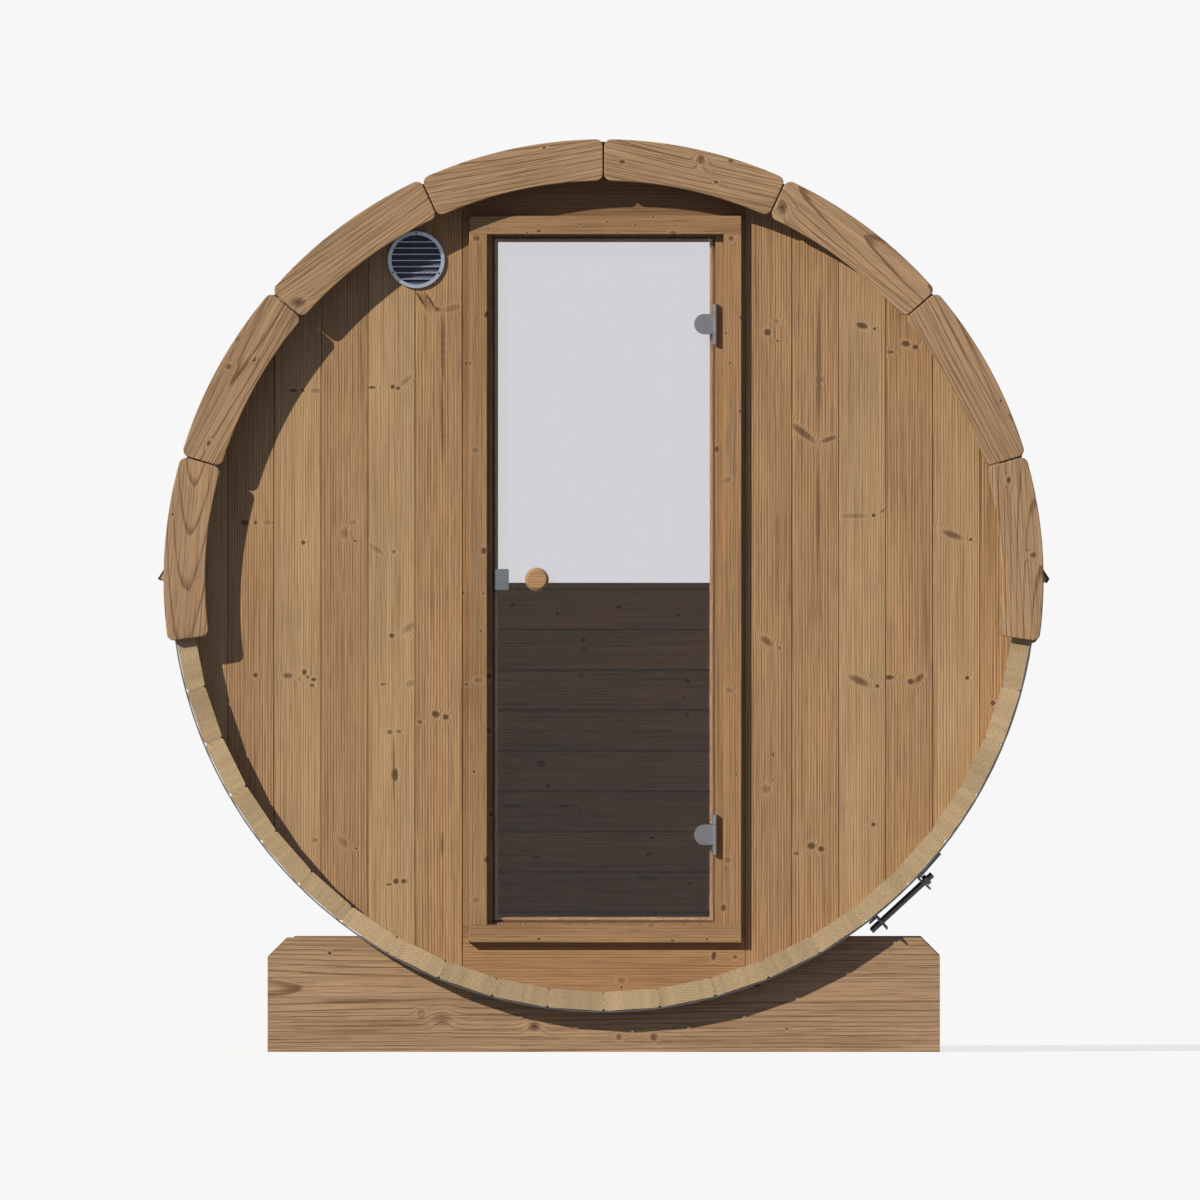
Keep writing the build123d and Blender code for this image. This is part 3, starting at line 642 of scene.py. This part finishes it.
REAR_MARKS = {
    "dark": [
        (507.3, 602, 4, 6, -30), (552.5, 610.5, 4, 3, 0), (578.4, 637, 5, 6, 0), (536, 762.7, 12, 7, 0),
        (614.5, 604, 5, 4, 0), (675.3, 612, 5, 4, 0), (649, 838, 6, 3, 0), (684, 678.7, 6, 5, 0),
    ],
    "plain": [
        (543, 785.8, 6, 6, 0), (507, 806, 36, 4, 0), (559, 806, 26, 4, 3), (530.9, 857, 6, 5, 0),
        (681, 696, 5, 5, 0), (684, 713.4, 6, 6, 0), (645, 855, 8, 4, 20), (686.9, 884, 8, 5, 0),
    ],
    "faint": [
        (579.5, 647, 10, 7, 0), (576.6, 672.9, 8, 9, 0), (643.4, 878.5, 26, 6, -10), (573.7, 809, 14, 4, -50),
    ],
    "streaks": [],
}


def from_pixel(pixel_x, pixel_y):
    x = (pixel_x - AXIS_PIXEL_X) * METRES_PER_PIXEL
    z = AXIS_Z + (AXIS_PIXEL_Y - pixel_y) * METRES_PER_PIXEL
    return x, z


def nearest_mark(g, place, marks, board_number):
    """Distance to the nearest listed mark on the same board, in that mark's own radii."""
    nearest = FAR
    for pixel_x, pixel_y, length, width, tilt in marks:
        x, z = from_pixel(pixel_x, pixel_y)
        node = g.add("Mapping", vector_type="TEXTURE")
        g.plug(node.inputs["Vector"], place)
        node.inputs["Location"].default_value = (x, board_number(x, z), z)
        node.inputs["Rotation"].default_value = (0, -math.radians(tilt), 0)
        radii = (length * METRES_PER_PIXEL / 2, BOARD_KEY, width * METRES_PER_PIXEL / 2)
        node.inputs["Scale"].default_value = radii
        nearest = g.math("MINIMUM", nearest, g.vector("LENGTH", node.outputs[0]))
    return nearest


def strewn_knots(g, along, across, number, share, size):
    """Distance to the nearest knot, in knot radii, with knots strewn by chance along the boards."""
    spacing, knot_length, knot_width = size
    rows = KNOT_ROW_SHARE / knot_width
    cell = g.math("DIVIDE", along, spacing)
    place = g.combine(cell, g.times(across, rows), g.times(number, BOARD_JUMP))
    cells = g.add("TexVoronoi", voronoi_dimensions="3D")
    g.plug(cells.inputs["Vector"], place)
    cells.inputs["Scale"].default_value = 1.0
    cells.inputs["Randomness"].default_value = KNOT_SCATTER_SHARE
    gap = g.vector("SUBTRACT", place, cells.outputs["Position"])
    radii = (spacing / knot_length, 1 / KNOT_ROW_SHARE, 0)
    near = g.vector("LENGTH", g.vector("MULTIPLY", gap, radii))
    draw, growth, _ = g.separate(cells.outputs["Color"])
    sized = g.math("DIVIDE", near, g.sum(growth, SMALLEST_KNOT_SHARE))
    return g.sum(sized, g.times(g.math("GREATER_THAN", draw, share), FAR))


def mark_shade(g, along, across, number, marks, board_number, share, size):
    """How dark knots and streaks make the wood, and how near the nearest knot is."""
    x, _, z = g.position()
    place = g.combine(x, number, z)
    near = {kind: nearest_mark(g, place, marks.get(kind, ()), board_number) for kind in MARK_SHADE_SHARES}
    strewn = strewn_knots(g, along, across, number, share, size)
    near["dark"] = g.math("MINIMUM", strewn, near["dark"])
    closest = g.math("MINIMUM", near["dark"], g.math("MINIMUM", near["plain"], near["faint"]))
    shades = []
    for kind, (start, full, darkness) in MARK_SHADE_SHARES.items():
        shades.append(g.ramp(near[kind], start, full, 0.0, darkness))
    return g.most(*shades), closest


def growth_rings(g, along, across, depth, draws, cut, wander, sway, bend):
    """Share of late wood: cylinders round a pith that drifts along the board, cut by its face."""
    first, second, third = draws
    aside = g.sum(across, g.times(second, cut["beside_differ"]), cut["beside"])
    tilt = g.times(along, g.sum(g.times(g.centred(first), cut["tilt_differ"]), cut["tilt"]))
    below = g.sum(cut["pith"], g.times(third, cut["differ"]), g.times(wander, cut["drift"]), tilt, depth)
    wavy = g.sum(g.hypotenuse(aside, below), g.times(sway, cut["wave"]))
    ring = g.math("FRACT", g.sum(g.times(wavy, cut["rings"]), g.times(bend, BEND_RINGS)))
    return g.times(g.ramp(ring, cut["edge"], RING_FULL_SHARE), g.ramp(ring, 1.0, RING_DROP_SHARE))


def grain_noise(g, run, across, other, scales, detail=2.0, roughness=0.5):
    """Noise that is stretched along the board."""
    along_scale, across_scale = scales
    place = g.combine(g.times(run, along_scale), g.times(across, across_scale), other)
    return g.noise(place, detail=detail, roughness=roughness)


def board_tones(g, number, tones):
    """Light and dark tone of each board. Of two pairs, the odd boards away from the door take the second."""
    light, dark = ((*color, 1) for color in tones[0])
    if len(tones) > 1:
        beyond = g.math("GREATER_THAN", g.math("ABSOLUTE", g.middle(number)), FIRST_TONE_BOARDS)
        second = g.times(g.odd(number), beyond)
        light = g.mix(second, light, (*tones[1][0], 1))
        dark = g.mix(second, dark, (*tones[1][1], 1))
    return light, dark


def knot_halo(g, closest, streak):
    """Share of the pale, streaky wood round a knot."""
    outer = g.ramp(closest, *HALO_OUTER_SHARES)
    return g.times(outer, g.ramp(closest, *HALO_INNER_SHARES), g.ramp(streak, *HALO_STREAK_SHARES))


def end_grain(g, across, depth, draws):
    """Colour of sawn ends: pale, with pores and with rings that noise breaks up."""
    place = g.combine(*g.position())
    pores = g.noise(place, scale=PORE_SCALE)
    broken = g.noise(place, scale=END_BREAK_SCALE, detail=3.0, roughness=0.6)
    aside = g.sum(across, g.times(g.centred(draws[1]), END_SPREAD))
    below = g.sum(depth, g.times(draws[2], END_DEPTH), END_DEPTH)
    reach = g.times(g.hypotenuse(aside, below), END_RINGS)
    ring = g.math("FRACT", g.sum(reach, g.times(broken, END_BREAK)))
    arcs = g.times(g.ramp(ring, *END_RING_SHARES), g.ramp(ring, *END_DROP_SHARES))
    mottle = g.sum(g.times(arcs, g.ramp(broken, *END_BREAK_SHARES)), g.ramp(pores, *PORE_DARK_SHARES))
    return g.mix(g.math("MINIMUM", mottle, 1.0), END_LIGHT, END_DARK)


def notch_shade(g, across, depth, notch):
    """Painted shade in the bevelled joints between staves, near their outer face."""
    joint = g.ramp(g.math("ABSOLUTE", across), notch, notch + NOTCH_BLUR, 0.0, NOTCH_SHADE_SHARE)
    return g.times(joint, g.ramp(depth, *NOTCH_DEPTHS))


def seam_shade(g, across, seam):
    """Painted shade along the seams between level boards."""
    start, full = (seam - edge for edge in SEAM_EDGES)
    return g.ramp(g.math("ABSOLUTE", across), start, full, 0.0, SEAM_SHADE_SHARE)


def rebate_shade(g, start):
    """Painted shade in the door rebate: in the gap round the leaf, and on the stops, darkest at latch and
    top.
    """
    x, y, z = g.position()
    up = g.minus(z, AXIS_Z)
    beside = g.minus(g.math("ABSOLUTE", x), LEAF_HIGH.x)
    beyond = g.minus(g.math("ABSOLUTE", up), LEAF_HIGH.z - AXIS_Z)
    # Painted shade: the gap round the leaf is dark, and the stops are darker where the casing shades them
    gap_shade = g.ramp(g.most(beside, beyond), *LEAF_GAP_SHADE_EDGES, 0.0, LEAF_GAP_SHADE_SHARE)
    right = g.math("GREATER_THAN", x, LEAF_HIGH.x - STOP_MARGIN)
    low = g.math("LESS_THAN", z, LEAF_LOW.z + STOP_MARGIN)
    stop = g.ramp(g.most(right, low), 0.0, 1.0, STOP_SHADED_SIDE_SHARE, STOP_SUNNY_SIDE_SHARE)
    return g.times(g.ramp(y, start, start + REBATE_BLUR), g.most(gap_shade, stop))


def wood(name, grain, tones, seed, cut=QUARTER_CUT, marks=None, board_number=None, share=0.4,
         size=LARGE_KNOTS, end_axis=None, spread=0.16, lines=0.75, rebate=None, seam=None, notch=None):
    """Heat-treated softwood: growth rings that bend round knots, fine fibres, and a tone for each board."""
    g = Graph(name)
    along, across, depth, number = grain(g)
    draws = g.random(g.sum(number, seed))
    third = draws[2]
    run = g.sum(along, g.times(draws[0], RUN_SPREAD))
    shade, closest = mark_shade(g, along, across, number, marks or {}, board_number, share, size)
    bend = g.math("EXPONENT", g.times(closest, closest, -BEND_FALL))

    wander = grain_noise(g, run, third, 0.0, WANDER_SCALES, detail=1.0)
    sway = grain_noise(g, run, across, number, SWAY_SCALES, detail=3.0)
    late = growth_rings(g, along, across, g.times(depth, DEPTH_SHARE), draws, cut, wander, sway, bend)
    fibre = grain_noise(g, run, across, g.times(depth, FIBRE_SCALES[1]), FIBRE_SCALES, roughness=0.6)
    streak = grain_noise(g, run, across, g.times(depth, STREAK_SCALES[1]), STREAK_SCALES, roughness=0.6)
    band = grain_noise(g, run, across, number, BAND_SCALES)
    cloud = grain_noise(g, run, across, number, CLOUD_SCALES)

    light, dark = board_tones(g, number, tones)
    amount = g.times(late, g.ramp(band, *LINE_BAND_SHARES), lines)
    amount = g.sum(amount, g.ramp(streak, *STREAK_DARK_SHARES), g.ramp(fibre, *FIBRE_DARK_SHARES))
    color = g.mix(g.math("MINIMUM", amount, 1.0), light, dark)
    tone = g.sum(
        g.ramp(cloud, *CLOUD_TONE_SHARES),
        g.ramp(band, *BAND_TONE_SHARES),
        g.times(g.centred(third), spread),
    )
    color = g.toned(color, tone)
    color = g.mix(knot_halo(g, closest, streak), color, END_LIGHT)
    # Painted shade in the notches between staves
    if notch is not None:
        color = g.mix(notch_shade(g, across, depth, notch), color, KNOT_AND_SHADE_DARK)
    # Painted shade along the seams of level boards
    if seam is not None:
        color = g.mix(seam_shade(g, across, seam), color, KNOT_AND_SHADE_DARK)
    if end_axis is not None:
        end = g.ramp(g.math("ABSOLUTE", g.normal()[end_axis]), *END_FACE_SHARES)
        color = g.mix(end, color, g.toned(end_grain(g, across, depth, draws), tone))
    # Painted shade in the door rebate
    if rebate is not None:
        color = g.mix(rebate_shade(g, rebate), color, KNOT_AND_SHADE_DARK)
    eye = g.mix(g.math("PINGPONG", g.times(closest, EYE_RINGS), 1.0), KNOT_AND_SHADE_DARK, KNOT_RED)
    color = g.mix(shade, color, eye)

    height = g.sum(g.times(fibre, -FIBRE_BUMP_SHARE), g.times(streak, -STREAK_BUMP_SHARE))
    g.bump(height, WOOD_BUMP_SHARE, WOOD_RELIEF)
    g.set(Base_Color=color, Roughness=g.ramp(streak, *WOOD_ROUGH_SHARES))
    g.set(Specular_IOR_Level=WOOD_GLOSS_SHARE)
    return g.material


def shaded(color, share):
    return (*(channel * share for channel in color), 1)


def metal(name, color, roughness, brushed, metallic=1.0):
    """Metal with fine brush marks or cast grain, and a little unevenness."""
    g = Graph(name)
    x, y, z = g.position()
    marks = g.combine(*(g.times(axis, scale) for axis, scale in zip((x, y, z), brushed)))
    grain = g.noise(marks, detail=3.0, roughness=0.6)
    patch = g.noise(g.combine(x, y, z), scale=METAL_PATCH_SCALE, detail=3.0)
    dark, light = shaded(color, BRUSH_DARK_SHARE), shaded(color, BRUSH_LIGHT_SHARE)
    tint = g.mix(g.ramp(grain, *MIDDLE_SHARES), dark, light)
    tint = g.mix(g.ramp(patch, *METAL_PATCH_SHARES), tint, shaded(color, PATCH_DARK_SHARE))
    g.bump(grain, METAL_BUMP_SHARE, METAL_RELIEF)
    g.set(Base_Color=tint, Metallic=metallic)
    g.set(Roughness=g.ramp(patch, *MIDDLE_SHARES, *(roughness * share for share in METAL_ROUGH_SHARES)))
    return g.material


def vent_metal():
    """Satin aluminium in front, and an insect screen at the wall behind the blades, dark with painted shade
    of the hollow vent.
    """
    g = Graph("vent_metal")
    x, y, z = g.position()
    grain = g.noise(g.combine(x, y, z), scale=VENT_GRAIN_SCALE, detail=3.0)
    # Painted shade: behind the blades, at the wall, the screen takes a dark colour
    deep = g.ramp(y, *(WALL_FACE_Y - edge for edge in SCREEN_EDGES))
    satin = g.mix(g.ramp(grain, *MIDDLE_SHARES), SATIN_DARK, SATIN_LIGHT)
    weave = g.times(g.math("SINE", g.times(x, WEAVE_TURN)), g.math("SINE", g.times(z, WEAVE_TURN)))
    screen = g.mix(g.ramp(weave, *WEAVE_SHARES), SHADED_SCREEN_DARK, SHADED_SCREEN_LIGHT)
    g.bump(grain, VENT_BUMP_SHARE, VENT_RELIEF)
    g.set(Base_Color=g.mix(deep, satin, screen))
    g.set(Metallic=g.ramp(deep, *MIDDLE_SHARES, *VENT_METAL_SHARES))
    g.set(Roughness=g.ramp(deep, *MIDDLE_SHARES, *VENT_ROUGH_SHARES))
    return g.material


def felt():
    """Black mineral felt: dark grit with paler specks, and a slightly different tone for each tab."""
    g = Graph("roof_felt")
    angle, _, y = polar(g)
    place = g.combine(*g.position())
    grit = g.noise(place, scale=GRIT_SCALE)
    patch = g.noise(place, scale=FELT_PATCH_SCALE, detail=4.0)
    course = g.row(g.minus(angle, EAVE_ANGLE), COURSE_ANGLE)
    tab = g.row(g.minus(y, g.times(g.odd(course), TAB_WIDTH / 2)), TAB_WIDTH)
    draw = g.random(g.sum(g.times(course, COURSE_JUMP), tab))[0]
    color = g.mix(g.ramp(grit, *GRIT_SPECK_SHARES), FELT_BLACK, FELT_SPECK)
    color = g.mix(g.ramp(patch, *FELT_DUST_SHARES), color, FELT_DUST)
    color = g.toned(color, g.ramp(draw, *TAB_TONE_SHARES))
    g.bump(grit, FELT_BUMP_SHARE, FELT_RELIEF)
    g.set(Base_Color=color, Roughness=FELT_ROUGH_SHARE, Specular_IOR_Level=FELT_GLOSS_SHARE)
    return g.material


def glass():
    """Clear toughened glass, slightly grey, that lets daylight into the room."""
    g = Graph("clear_glass")
    smear = g.noise(g.combine(*g.position()), scale=SMEAR_SCALE, detail=3.0)
    g.set(Base_Color=GLASS_TINT, Transmission_Weight=1.0, IOR=GLASS_IOR)
    g.set(Roughness=g.ramp(smear, *SMEAR_ROUGH_SHARES))
    clear = g.add("BsdfTransparent")
    clear.inputs["Color"].default_value = GLASS_SHADOW
    path = g.add("LightPath")
    choice = g.add("MixShader")
    g.plug(choice.inputs[0], path.outputs["Is Shadow Ray"])
    g.plug(choice.inputs[1], g.shader.outputs[0])
    g.plug(choice.inputs[2], clear.outputs[0])
    output = next(n for n in g.tree.nodes if n.type == "OUTPUT_MATERIAL")
    g.plug(output.inputs["Surface"], choice.outputs[0])
    return g.material


# Pieces that scene.py adds to the CAD nodes
def join_loops(mesh, loops):
    """Join loops of vertices into a closed skin."""
    for before, after in zip(loops, loops[1:]):
        for i in range(len(before)):
            j = (i + 1) % len(before)
            mesh.faces.new((before[i], before[j], after[j], after[i]))
    mesh.faces.new(loops[0][::-1])
    mesh.faces.new(loops[-1])


def add_slab(mesh, rings):
    join_loops(mesh, [[mesh.verts.new(point) for point in ring] for ring in rings])


def on_roof(side, angle, lift, y):
    turn = math.radians(angle)
    radius = ROOF_RADIUS + ROOF_GAP + lift
    return (side * math.cos(turn) * radius, y, AXIS_Z + math.sin(turn) * radius)


def tab_spans(offset):
    """Start and end of each tab along the roof, cut off at the stave ends."""
    start = FRONT_END_Y - offset
    while start < REAR_END_Y - TAB_SLOT:
        low = max(start + TAB_SLOT / 2, FRONT_END_Y)
        high = min(start + TAB_WIDTH - TAB_SLOT / 2, REAR_END_Y)
        yield low, high
        start += TAB_WIDTH


def add_tab(mesh, side, low, high, start, end):
    rings = []
    for step in range(TAB_STEPS + 1):
        share = step / TAB_STEPS
        angle = low + (high - low) * share
        lift = TAB_THICKNESS * (1 - share)
        rings.append([
            on_roof(side, angle, 0, start), on_roof(side, angle, 0, end),
            on_roof(side, angle, lift, end), on_roof(side, angle, lift, start),
        ])
    add_slab(mesh, rings)


def add_ridge_cap(mesh, start, end):
    rings = []
    for step in range(-TAB_STEPS, TAB_STEPS + 1):
        angle = TOP_ANGLE + CAP_ANGLE * step / TAB_STEPS
        rings.append([
            on_roof(1, angle, 0, start), on_roof(1, angle, 0, end),
            on_roof(1, angle, TAB_THICKNESS, end), on_roof(1, angle, 2 * TAB_THICKNESS, start),
        ])
    add_slab(mesh, rings)


def roof_shingles(mesh):
    for side in (1, -1):
        for course in range(COURSES):
            low = EAVE_ANGLE + course * COURSE_ANGLE
            high = min(low + COURSE_ANGLE + LAP_ANGLE, TOP_ANGLE)
            for start, end in tab_spans(course % 2 * TAB_WIDTH / 2):
                add_tab(mesh, side, low, high, start, end)
    length = (REAR_END_Y - FRONT_END_Y) / CAP_COUNT
    for index in range(CAP_COUNT):
        start = FRONT_END_Y + index * length
        add_ridge_cap(mesh, start, start + length)


def lug_hole(angle, y):
    turn = math.radians(angle)
    out = Vector((math.cos(turn), 0, math.sin(turn)))
    aside = Vector((math.sin(turn), 0, -math.cos(turn)))
    return Vector((0, y, AXIS_Z)) + out * (HOOP_RADIUS + ROD_RISE) + aside * ROD_OFFSET


def rod_thread(mesh, y):
    lower, upper = (lug_hole(angle, y) for angle in ROD_STAVE_ANGLES)
    pull = (upper - lower).normalized()
    start = lower - pull * (ROD_ENDS[0] - THREAD_PITCH)
    length = (upper - lower).length + sum(ROD_ENDS) - 2 * THREAD_PITCH
    level = Vector((0, 1, 0))
    other = pull.cross(level)
    rings = []
    for step in range(int(length / THREAD_PITCH * THREAD_STEPS)):
        turn = 2 * math.pi * step / THREAD_STEPS
        out = level * math.cos(turn) + other * math.sin(turn)
        middle = start + pull * (THREAD_PITCH * step / THREAD_STEPS)
        root = out * (ROD_RADIUS - THREAD_HEIGHT)
        crest = out * (ROD_RADIUS + THREAD_HEIGHT)
        foot = pull * (THREAD_PITCH * THREAD_FOOT_SHARE)
        land = pull * (THREAD_PITCH * THREAD_LAND_SHARE)
        ring = (root - foot, crest - land, crest + land, root + foot)
        rings.append([middle + corner for corner in ring])
    add_slab(mesh, rings)


# Painted shade: a black strip behind an upright joint, standing in for the shade in it
def joint_shade_strip(mesh, side):
    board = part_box("front_boards_right")[0] if side > 0 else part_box("front_boards_left")[1]
    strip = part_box("door_frame")[1] if side > 0 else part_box("door_frame")[0]
    middle = (board.x + strip.x) / 2
    half = abs(board.x - strip.x) / 2 * SHADE_STRIP_SHARE
    reach = math.sqrt(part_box("front_boards_left")[0].x ** 2 - middle**2) - SHADE_STRIP_DEPTH
    low_y = WALL_FACE_Y + SHADE_STRIP_DEPTH
    high_y = low_y + SHADE_STRIP_DEPTH
    corners = ((-half, low_y), (half, low_y), (half, high_y), (-half, high_y))
    add_slab(mesh, [[(middle + x, y, AXIS_Z + end * reach) for x, y in corners] for end in (-1, 1)])


def joint_shade_strips(mesh):
    for side in (1, -1):
        joint_shade_strip(mesh, side)


def vent_screw(mesh, angle):
    turn = math.radians(angle)
    middle = Vector((
        (VENT_LOW.x + VENT_HIGH.x) / 2 + SCREW_CIRCLE * math.cos(turn),
        VENT_LOW.y,
        (VENT_LOW.z + VENT_HIGH.z) / 2 + SCREW_CIRCLE * math.sin(turn),
    ))
    loops = []
    for reach, rise in SCREW_PROFILE_SHARES:
        radius = SCREW_RADIUS * reach
        loop = []
        for side in range(SCREW_SIDES):
            around = 2 * math.pi * side / SCREW_SIDES
            offset = Vector((radius * math.cos(around), -SCREW_DOME * rise, radius * math.sin(around)))
            loop.append(mesh.verts.new(middle + offset))
        loops.append(loop)
    join_loops(mesh, loops)


def vent_screws(mesh):
    for angle in SCREW_ANGLES:
        vent_screw(mesh, angle)


def add_piece(name, material, slot, build, *values):
    """Make one piece from a mesh function, and let it ride with the cabin."""
    mesh = bmesh.new()
    build(mesh, *values)
    bmesh.ops.recalc_face_normals(mesh, faces=mesh.faces)
    data = bpy.data.meshes.new(name)
    mesh.to_mesh(data)
    mesh.free()
    data.materials.append(material)
    piece = bpy.data.objects.new(name, data)
    bpy.context.scene.collection.objects.link(piece)
    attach(piece, "cabin")


def paint(material, *names):
    """Give CAD nodes a finished material."""
    for name in names:
        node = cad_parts[name]
        node.data.materials.clear()
        node.data.materials.append(material)


def nodes_with(words):
    return [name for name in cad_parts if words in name]


# Finishes of the CAD nodes
wall_tones = (ORANGE_WOOD, YELLOW_WOOD)
left_wood = wood("left_wall_wood", upright_boards, wall_tones, seed=3.1, marks=LEFT_WALL_MARKS,
                 board_number=upright_number, share=0.0, spread=0.06, lines=0.80)
right_wood = wood("right_wall_wood", upright_boards, wall_tones, seed=3.1, marks=RIGHT_WALL_MARKS,
                  board_number=upright_number, share=0.0, spread=0.06, lines=0.80)
rear_wood = wood("rear_wood", level_boards, (STAVE_WOOD,), seed=17.4, marks=REAR_MARKS,
                 board_number=level_number, share=0.0, lines=0.5, seam=REAR_PITCH / 2)
# Painted shade: the header's wood is darkened as the corner under the arches
shaded_header_wood = wood("shaded_header_wood", single_plank, (SHADED_HEADER_WOOD,), seed=41.7, share=0.0)
sill_wood = wood("sill_wood", single_plank, (SILL_WOOD,), seed=41.7, marks=PLANK_MARKS,
                 board_number=plank_number, share=0.0)
stave_wood = wood("stave_wood", barrel_staves, (STAVE_WOOD,), seed=59.2, end_axis=1, notch=NOTCH_START)
arch_wood = wood("arch_wood", arch_boards, (ARCH_WOOD,), seed=83.5, cut=ARCH_CUT, marks=ARCH_MARKS,
                 board_number=arch_number, share=0.0, spread=0.08, lines=1.0)
trim_wood = wood("trim_wood", framed_boards, (TRIM_WOOD,), seed=101.3, marks=CASING_MARKS,
                 board_number=framed_number, share=0.35, size=SMALL_KNOTS, lines=0.5)
# The door frame takes painted shade in its rebate
frame_wood = wood("frame_wood", framed_boards, (FRAME_WOOD,), seed=109.6, share=0.35, size=SMALL_KNOTS,
                  lines=0.5, rebate=WALL_FACE_Y + REBATE_MARGIN)
knob_wood = wood("knob_wood", single_plank, (KNOB_WOOD,), seed=115.2, share=0.0)
cradle_wood = wood("cradle_wood", cradle_planks, (CRADLE_WOOD,), seed=127.9, cut=CRADLE_CUT,
                   marks=CRADLE_MARKS, board_number=cradle_number, share=0.0, end_axis=0, lines=0.9)
floor_wood = wood("floor_wood", floor_boards, (STAVE_WOOD,), seed=149.6, end_axis=1)
batten_wood = wood("batten_wood", lengthwise, (STAVE_WOOD,), seed=163.8, end_axis=1)
roof_felt = felt()
hoop_steel = metal("hoop_steel", HOOP_GREY, roughness=0.40, brushed=HOOP_BRUSH)
dark_steel = metal("dark_steel", STEEL_GREY, roughness=0.4, brushed=CAST_GRAIN)
hinge_metal = metal("hinge_metal", HINGE_GREY, roughness=0.42, brushed=UPRIGHT_BRUSH, metallic=0.6)
latch_metal = metal("latch_metal", LATCH_GREY, roughness=0.45, brushed=UPRIGHT_BRUSH, metallic=0.6)

paint(left_wood, "front_boards_left")
paint(right_wood, "front_boards_right")
paint(rear_wood, "rear_boards")
paint(shaded_header_wood, "front_header")
paint(sill_wood, "front_sill")
paint(stave_wood, *nodes_with("staves_"))
paint(arch_wood, *nodes_with("_arch"))
paint(trim_wood, "door_casing")
paint(frame_wood, "door_frame")
paint(knob_wood, "door_knob")
paint(cradle_wood, "cradle_front", "cradle_rear")
paint(floor_wood, "floor_slats", "floor_bearers")
paint(batten_wood, "eave_batten_left", "eave_batten_right")
paint(glass(), "door_glass", "rear_window")
paint(roof_felt, "roof_covering")
paint(hoop_steel, "hoop_front", "hoop_rear")
paint(dark_steel, "tensioner_front", "tensioner_rear")
paint(hinge_metal, *nodes_with("hinge_"))
paint(latch_metal, "door_latch")
paint(vent_metal(), "vent")

add_piece("roof_shingles", roof_felt, "roof_felt", roof_shingles)
add_piece("front_rod_thread", dark_steel, "dark_steel", rod_thread, (HOOP_LOW.y + HOOP_HIGH.y) / 2)
add_piece("rear_rod_thread", dark_steel, "dark_steel", rod_thread, (REAR_HOOP_LOW.y + REAR_HOOP_HIGH.y) / 2)
# Black strips behind the upright joints: painted shade
add_piece("joint_shade_strips", roof_felt, "roof_felt", joint_shade_strips)
add_piece("vent_screws", dark_steel, "dark_steel", vent_screws)


# Stage: pale floor, sun, sky and the camera
def seen_directly(add, link):
    """One for rays that come from the camera, or by way of glossy metal or clear glass."""
    path = add("ShaderNodeLightPath")
    total = path.outputs["Is Camera Ray"]
    for kind in ("Is Glossy Ray", "Is Transmission Ray"):
        node = add("ShaderNodeMath")
        node.operation = "MAXIMUM"
        link(total, node.inputs[0])
        link(path.outputs[kind], node.inputs[1])
        total = node.outputs[0]
    return total


def make_floor():
    mesh = bpy.data.meshes.new("floor")
    corners = [(x * FLOOR_REACH, y * FLOOR_REACH, 0) for x, y in ((-1, -1), (1, -1), (1, 1), (-1, 1))]
    mesh.from_pydata(corners, [], [(0, 1, 2, 3)])
    floor = bpy.data.objects.new("floor", mesh)
    bpy.context.scene.collection.objects.link(floor)
    g = Graph("floor_paint")
    sunlight = SUN_STRENGTH * -SUN_TRAVEL.normalized().z / math.pi
    lit = [FLOOR_SHARE * (sunlight * sun + sky) for sun, sky in zip(SUN_COLOR, SKY_COLOR)]
    g.set(Base_Color=shaded(WHITE, FLOOR_SHARE), Roughness=FLOOR_ROUGH_SHARE, Specular_IOR_Level=0.0)
    g.set(Emission_Color=(*(BACKGROUND - channel for channel in lit), 1))
    g.set(Emission_Strength=seen_directly(g.tree.nodes.new, g.tree.links.new))
    mesh.materials.append(g.material)


def make_world():
    world = bpy.data.worlds.new("sky")
    bpy.context.scene.world = world
    world.use_nodes = True
    tree = world.node_tree
    choice = tree.nodes.new("ShaderNodeMix")
    choice.data_type = "RGBA"
    tree.links.new(seen_directly(tree.nodes.new, tree.links.new), choice.inputs[0])
    choice.inputs[MIX_FIRST].default_value = (*SKY_COLOR, 1)
    choice.inputs[MIX_SECOND].default_value = shaded(WHITE, BACKGROUND)
    tree.links.new(choice.outputs[MIX_RESULT], tree.nodes["Background"].inputs["Color"])


def make_sun():
    lamp = bpy.data.lights.new("sun", "SUN")
    lamp.energy = SUN_STRENGTH
    lamp.angle = SUN_ANGLE
    lamp.color = SUN_COLOR
    sun = bpy.data.objects.new("sun", lamp)
    sun.rotation_euler = SUN_TRAVEL.to_track_quat("-Z", "Y").to_euler()
    bpy.context.scene.collection.objects.link(sun)


def make_camera():
    middle = FRAME_PIXELS / 2
    width = FRAME_PIXELS * METRES_PER_PIXEL
    distance = width * LENS / SENSOR
    data = bpy.data.cameras.new("camera")
    data.lens = LENS * MILLIMETRES
    data.sensor_width = SENSOR * MILLIMETRES
    data.clip_start = CLIP_START
    data.clip_end = 2 * distance
    camera = bpy.data.objects.new("camera", data)
    camera.location = (CAMERA_X, FRONT_END_Y - distance, CAMERA_Z)
    aim = Vector((
        (middle - AXIS_PIXEL_X) * METRES_PER_PIXEL,
        FRONT_END_Y,
        AXIS_Z + (AXIS_PIXEL_Y - middle) * METRES_PER_PIXEL,
    ))
    camera.rotation_euler = (aim - camera.location).to_track_quat("-Z", "Y").to_euler()
    bpy.context.scene.collection.objects.link(camera)
    bpy.context.scene.camera = camera


make_floor()
make_world()
make_sun()
make_camera()
bpy.context.scene.view_settings.view_transform = "Standard"
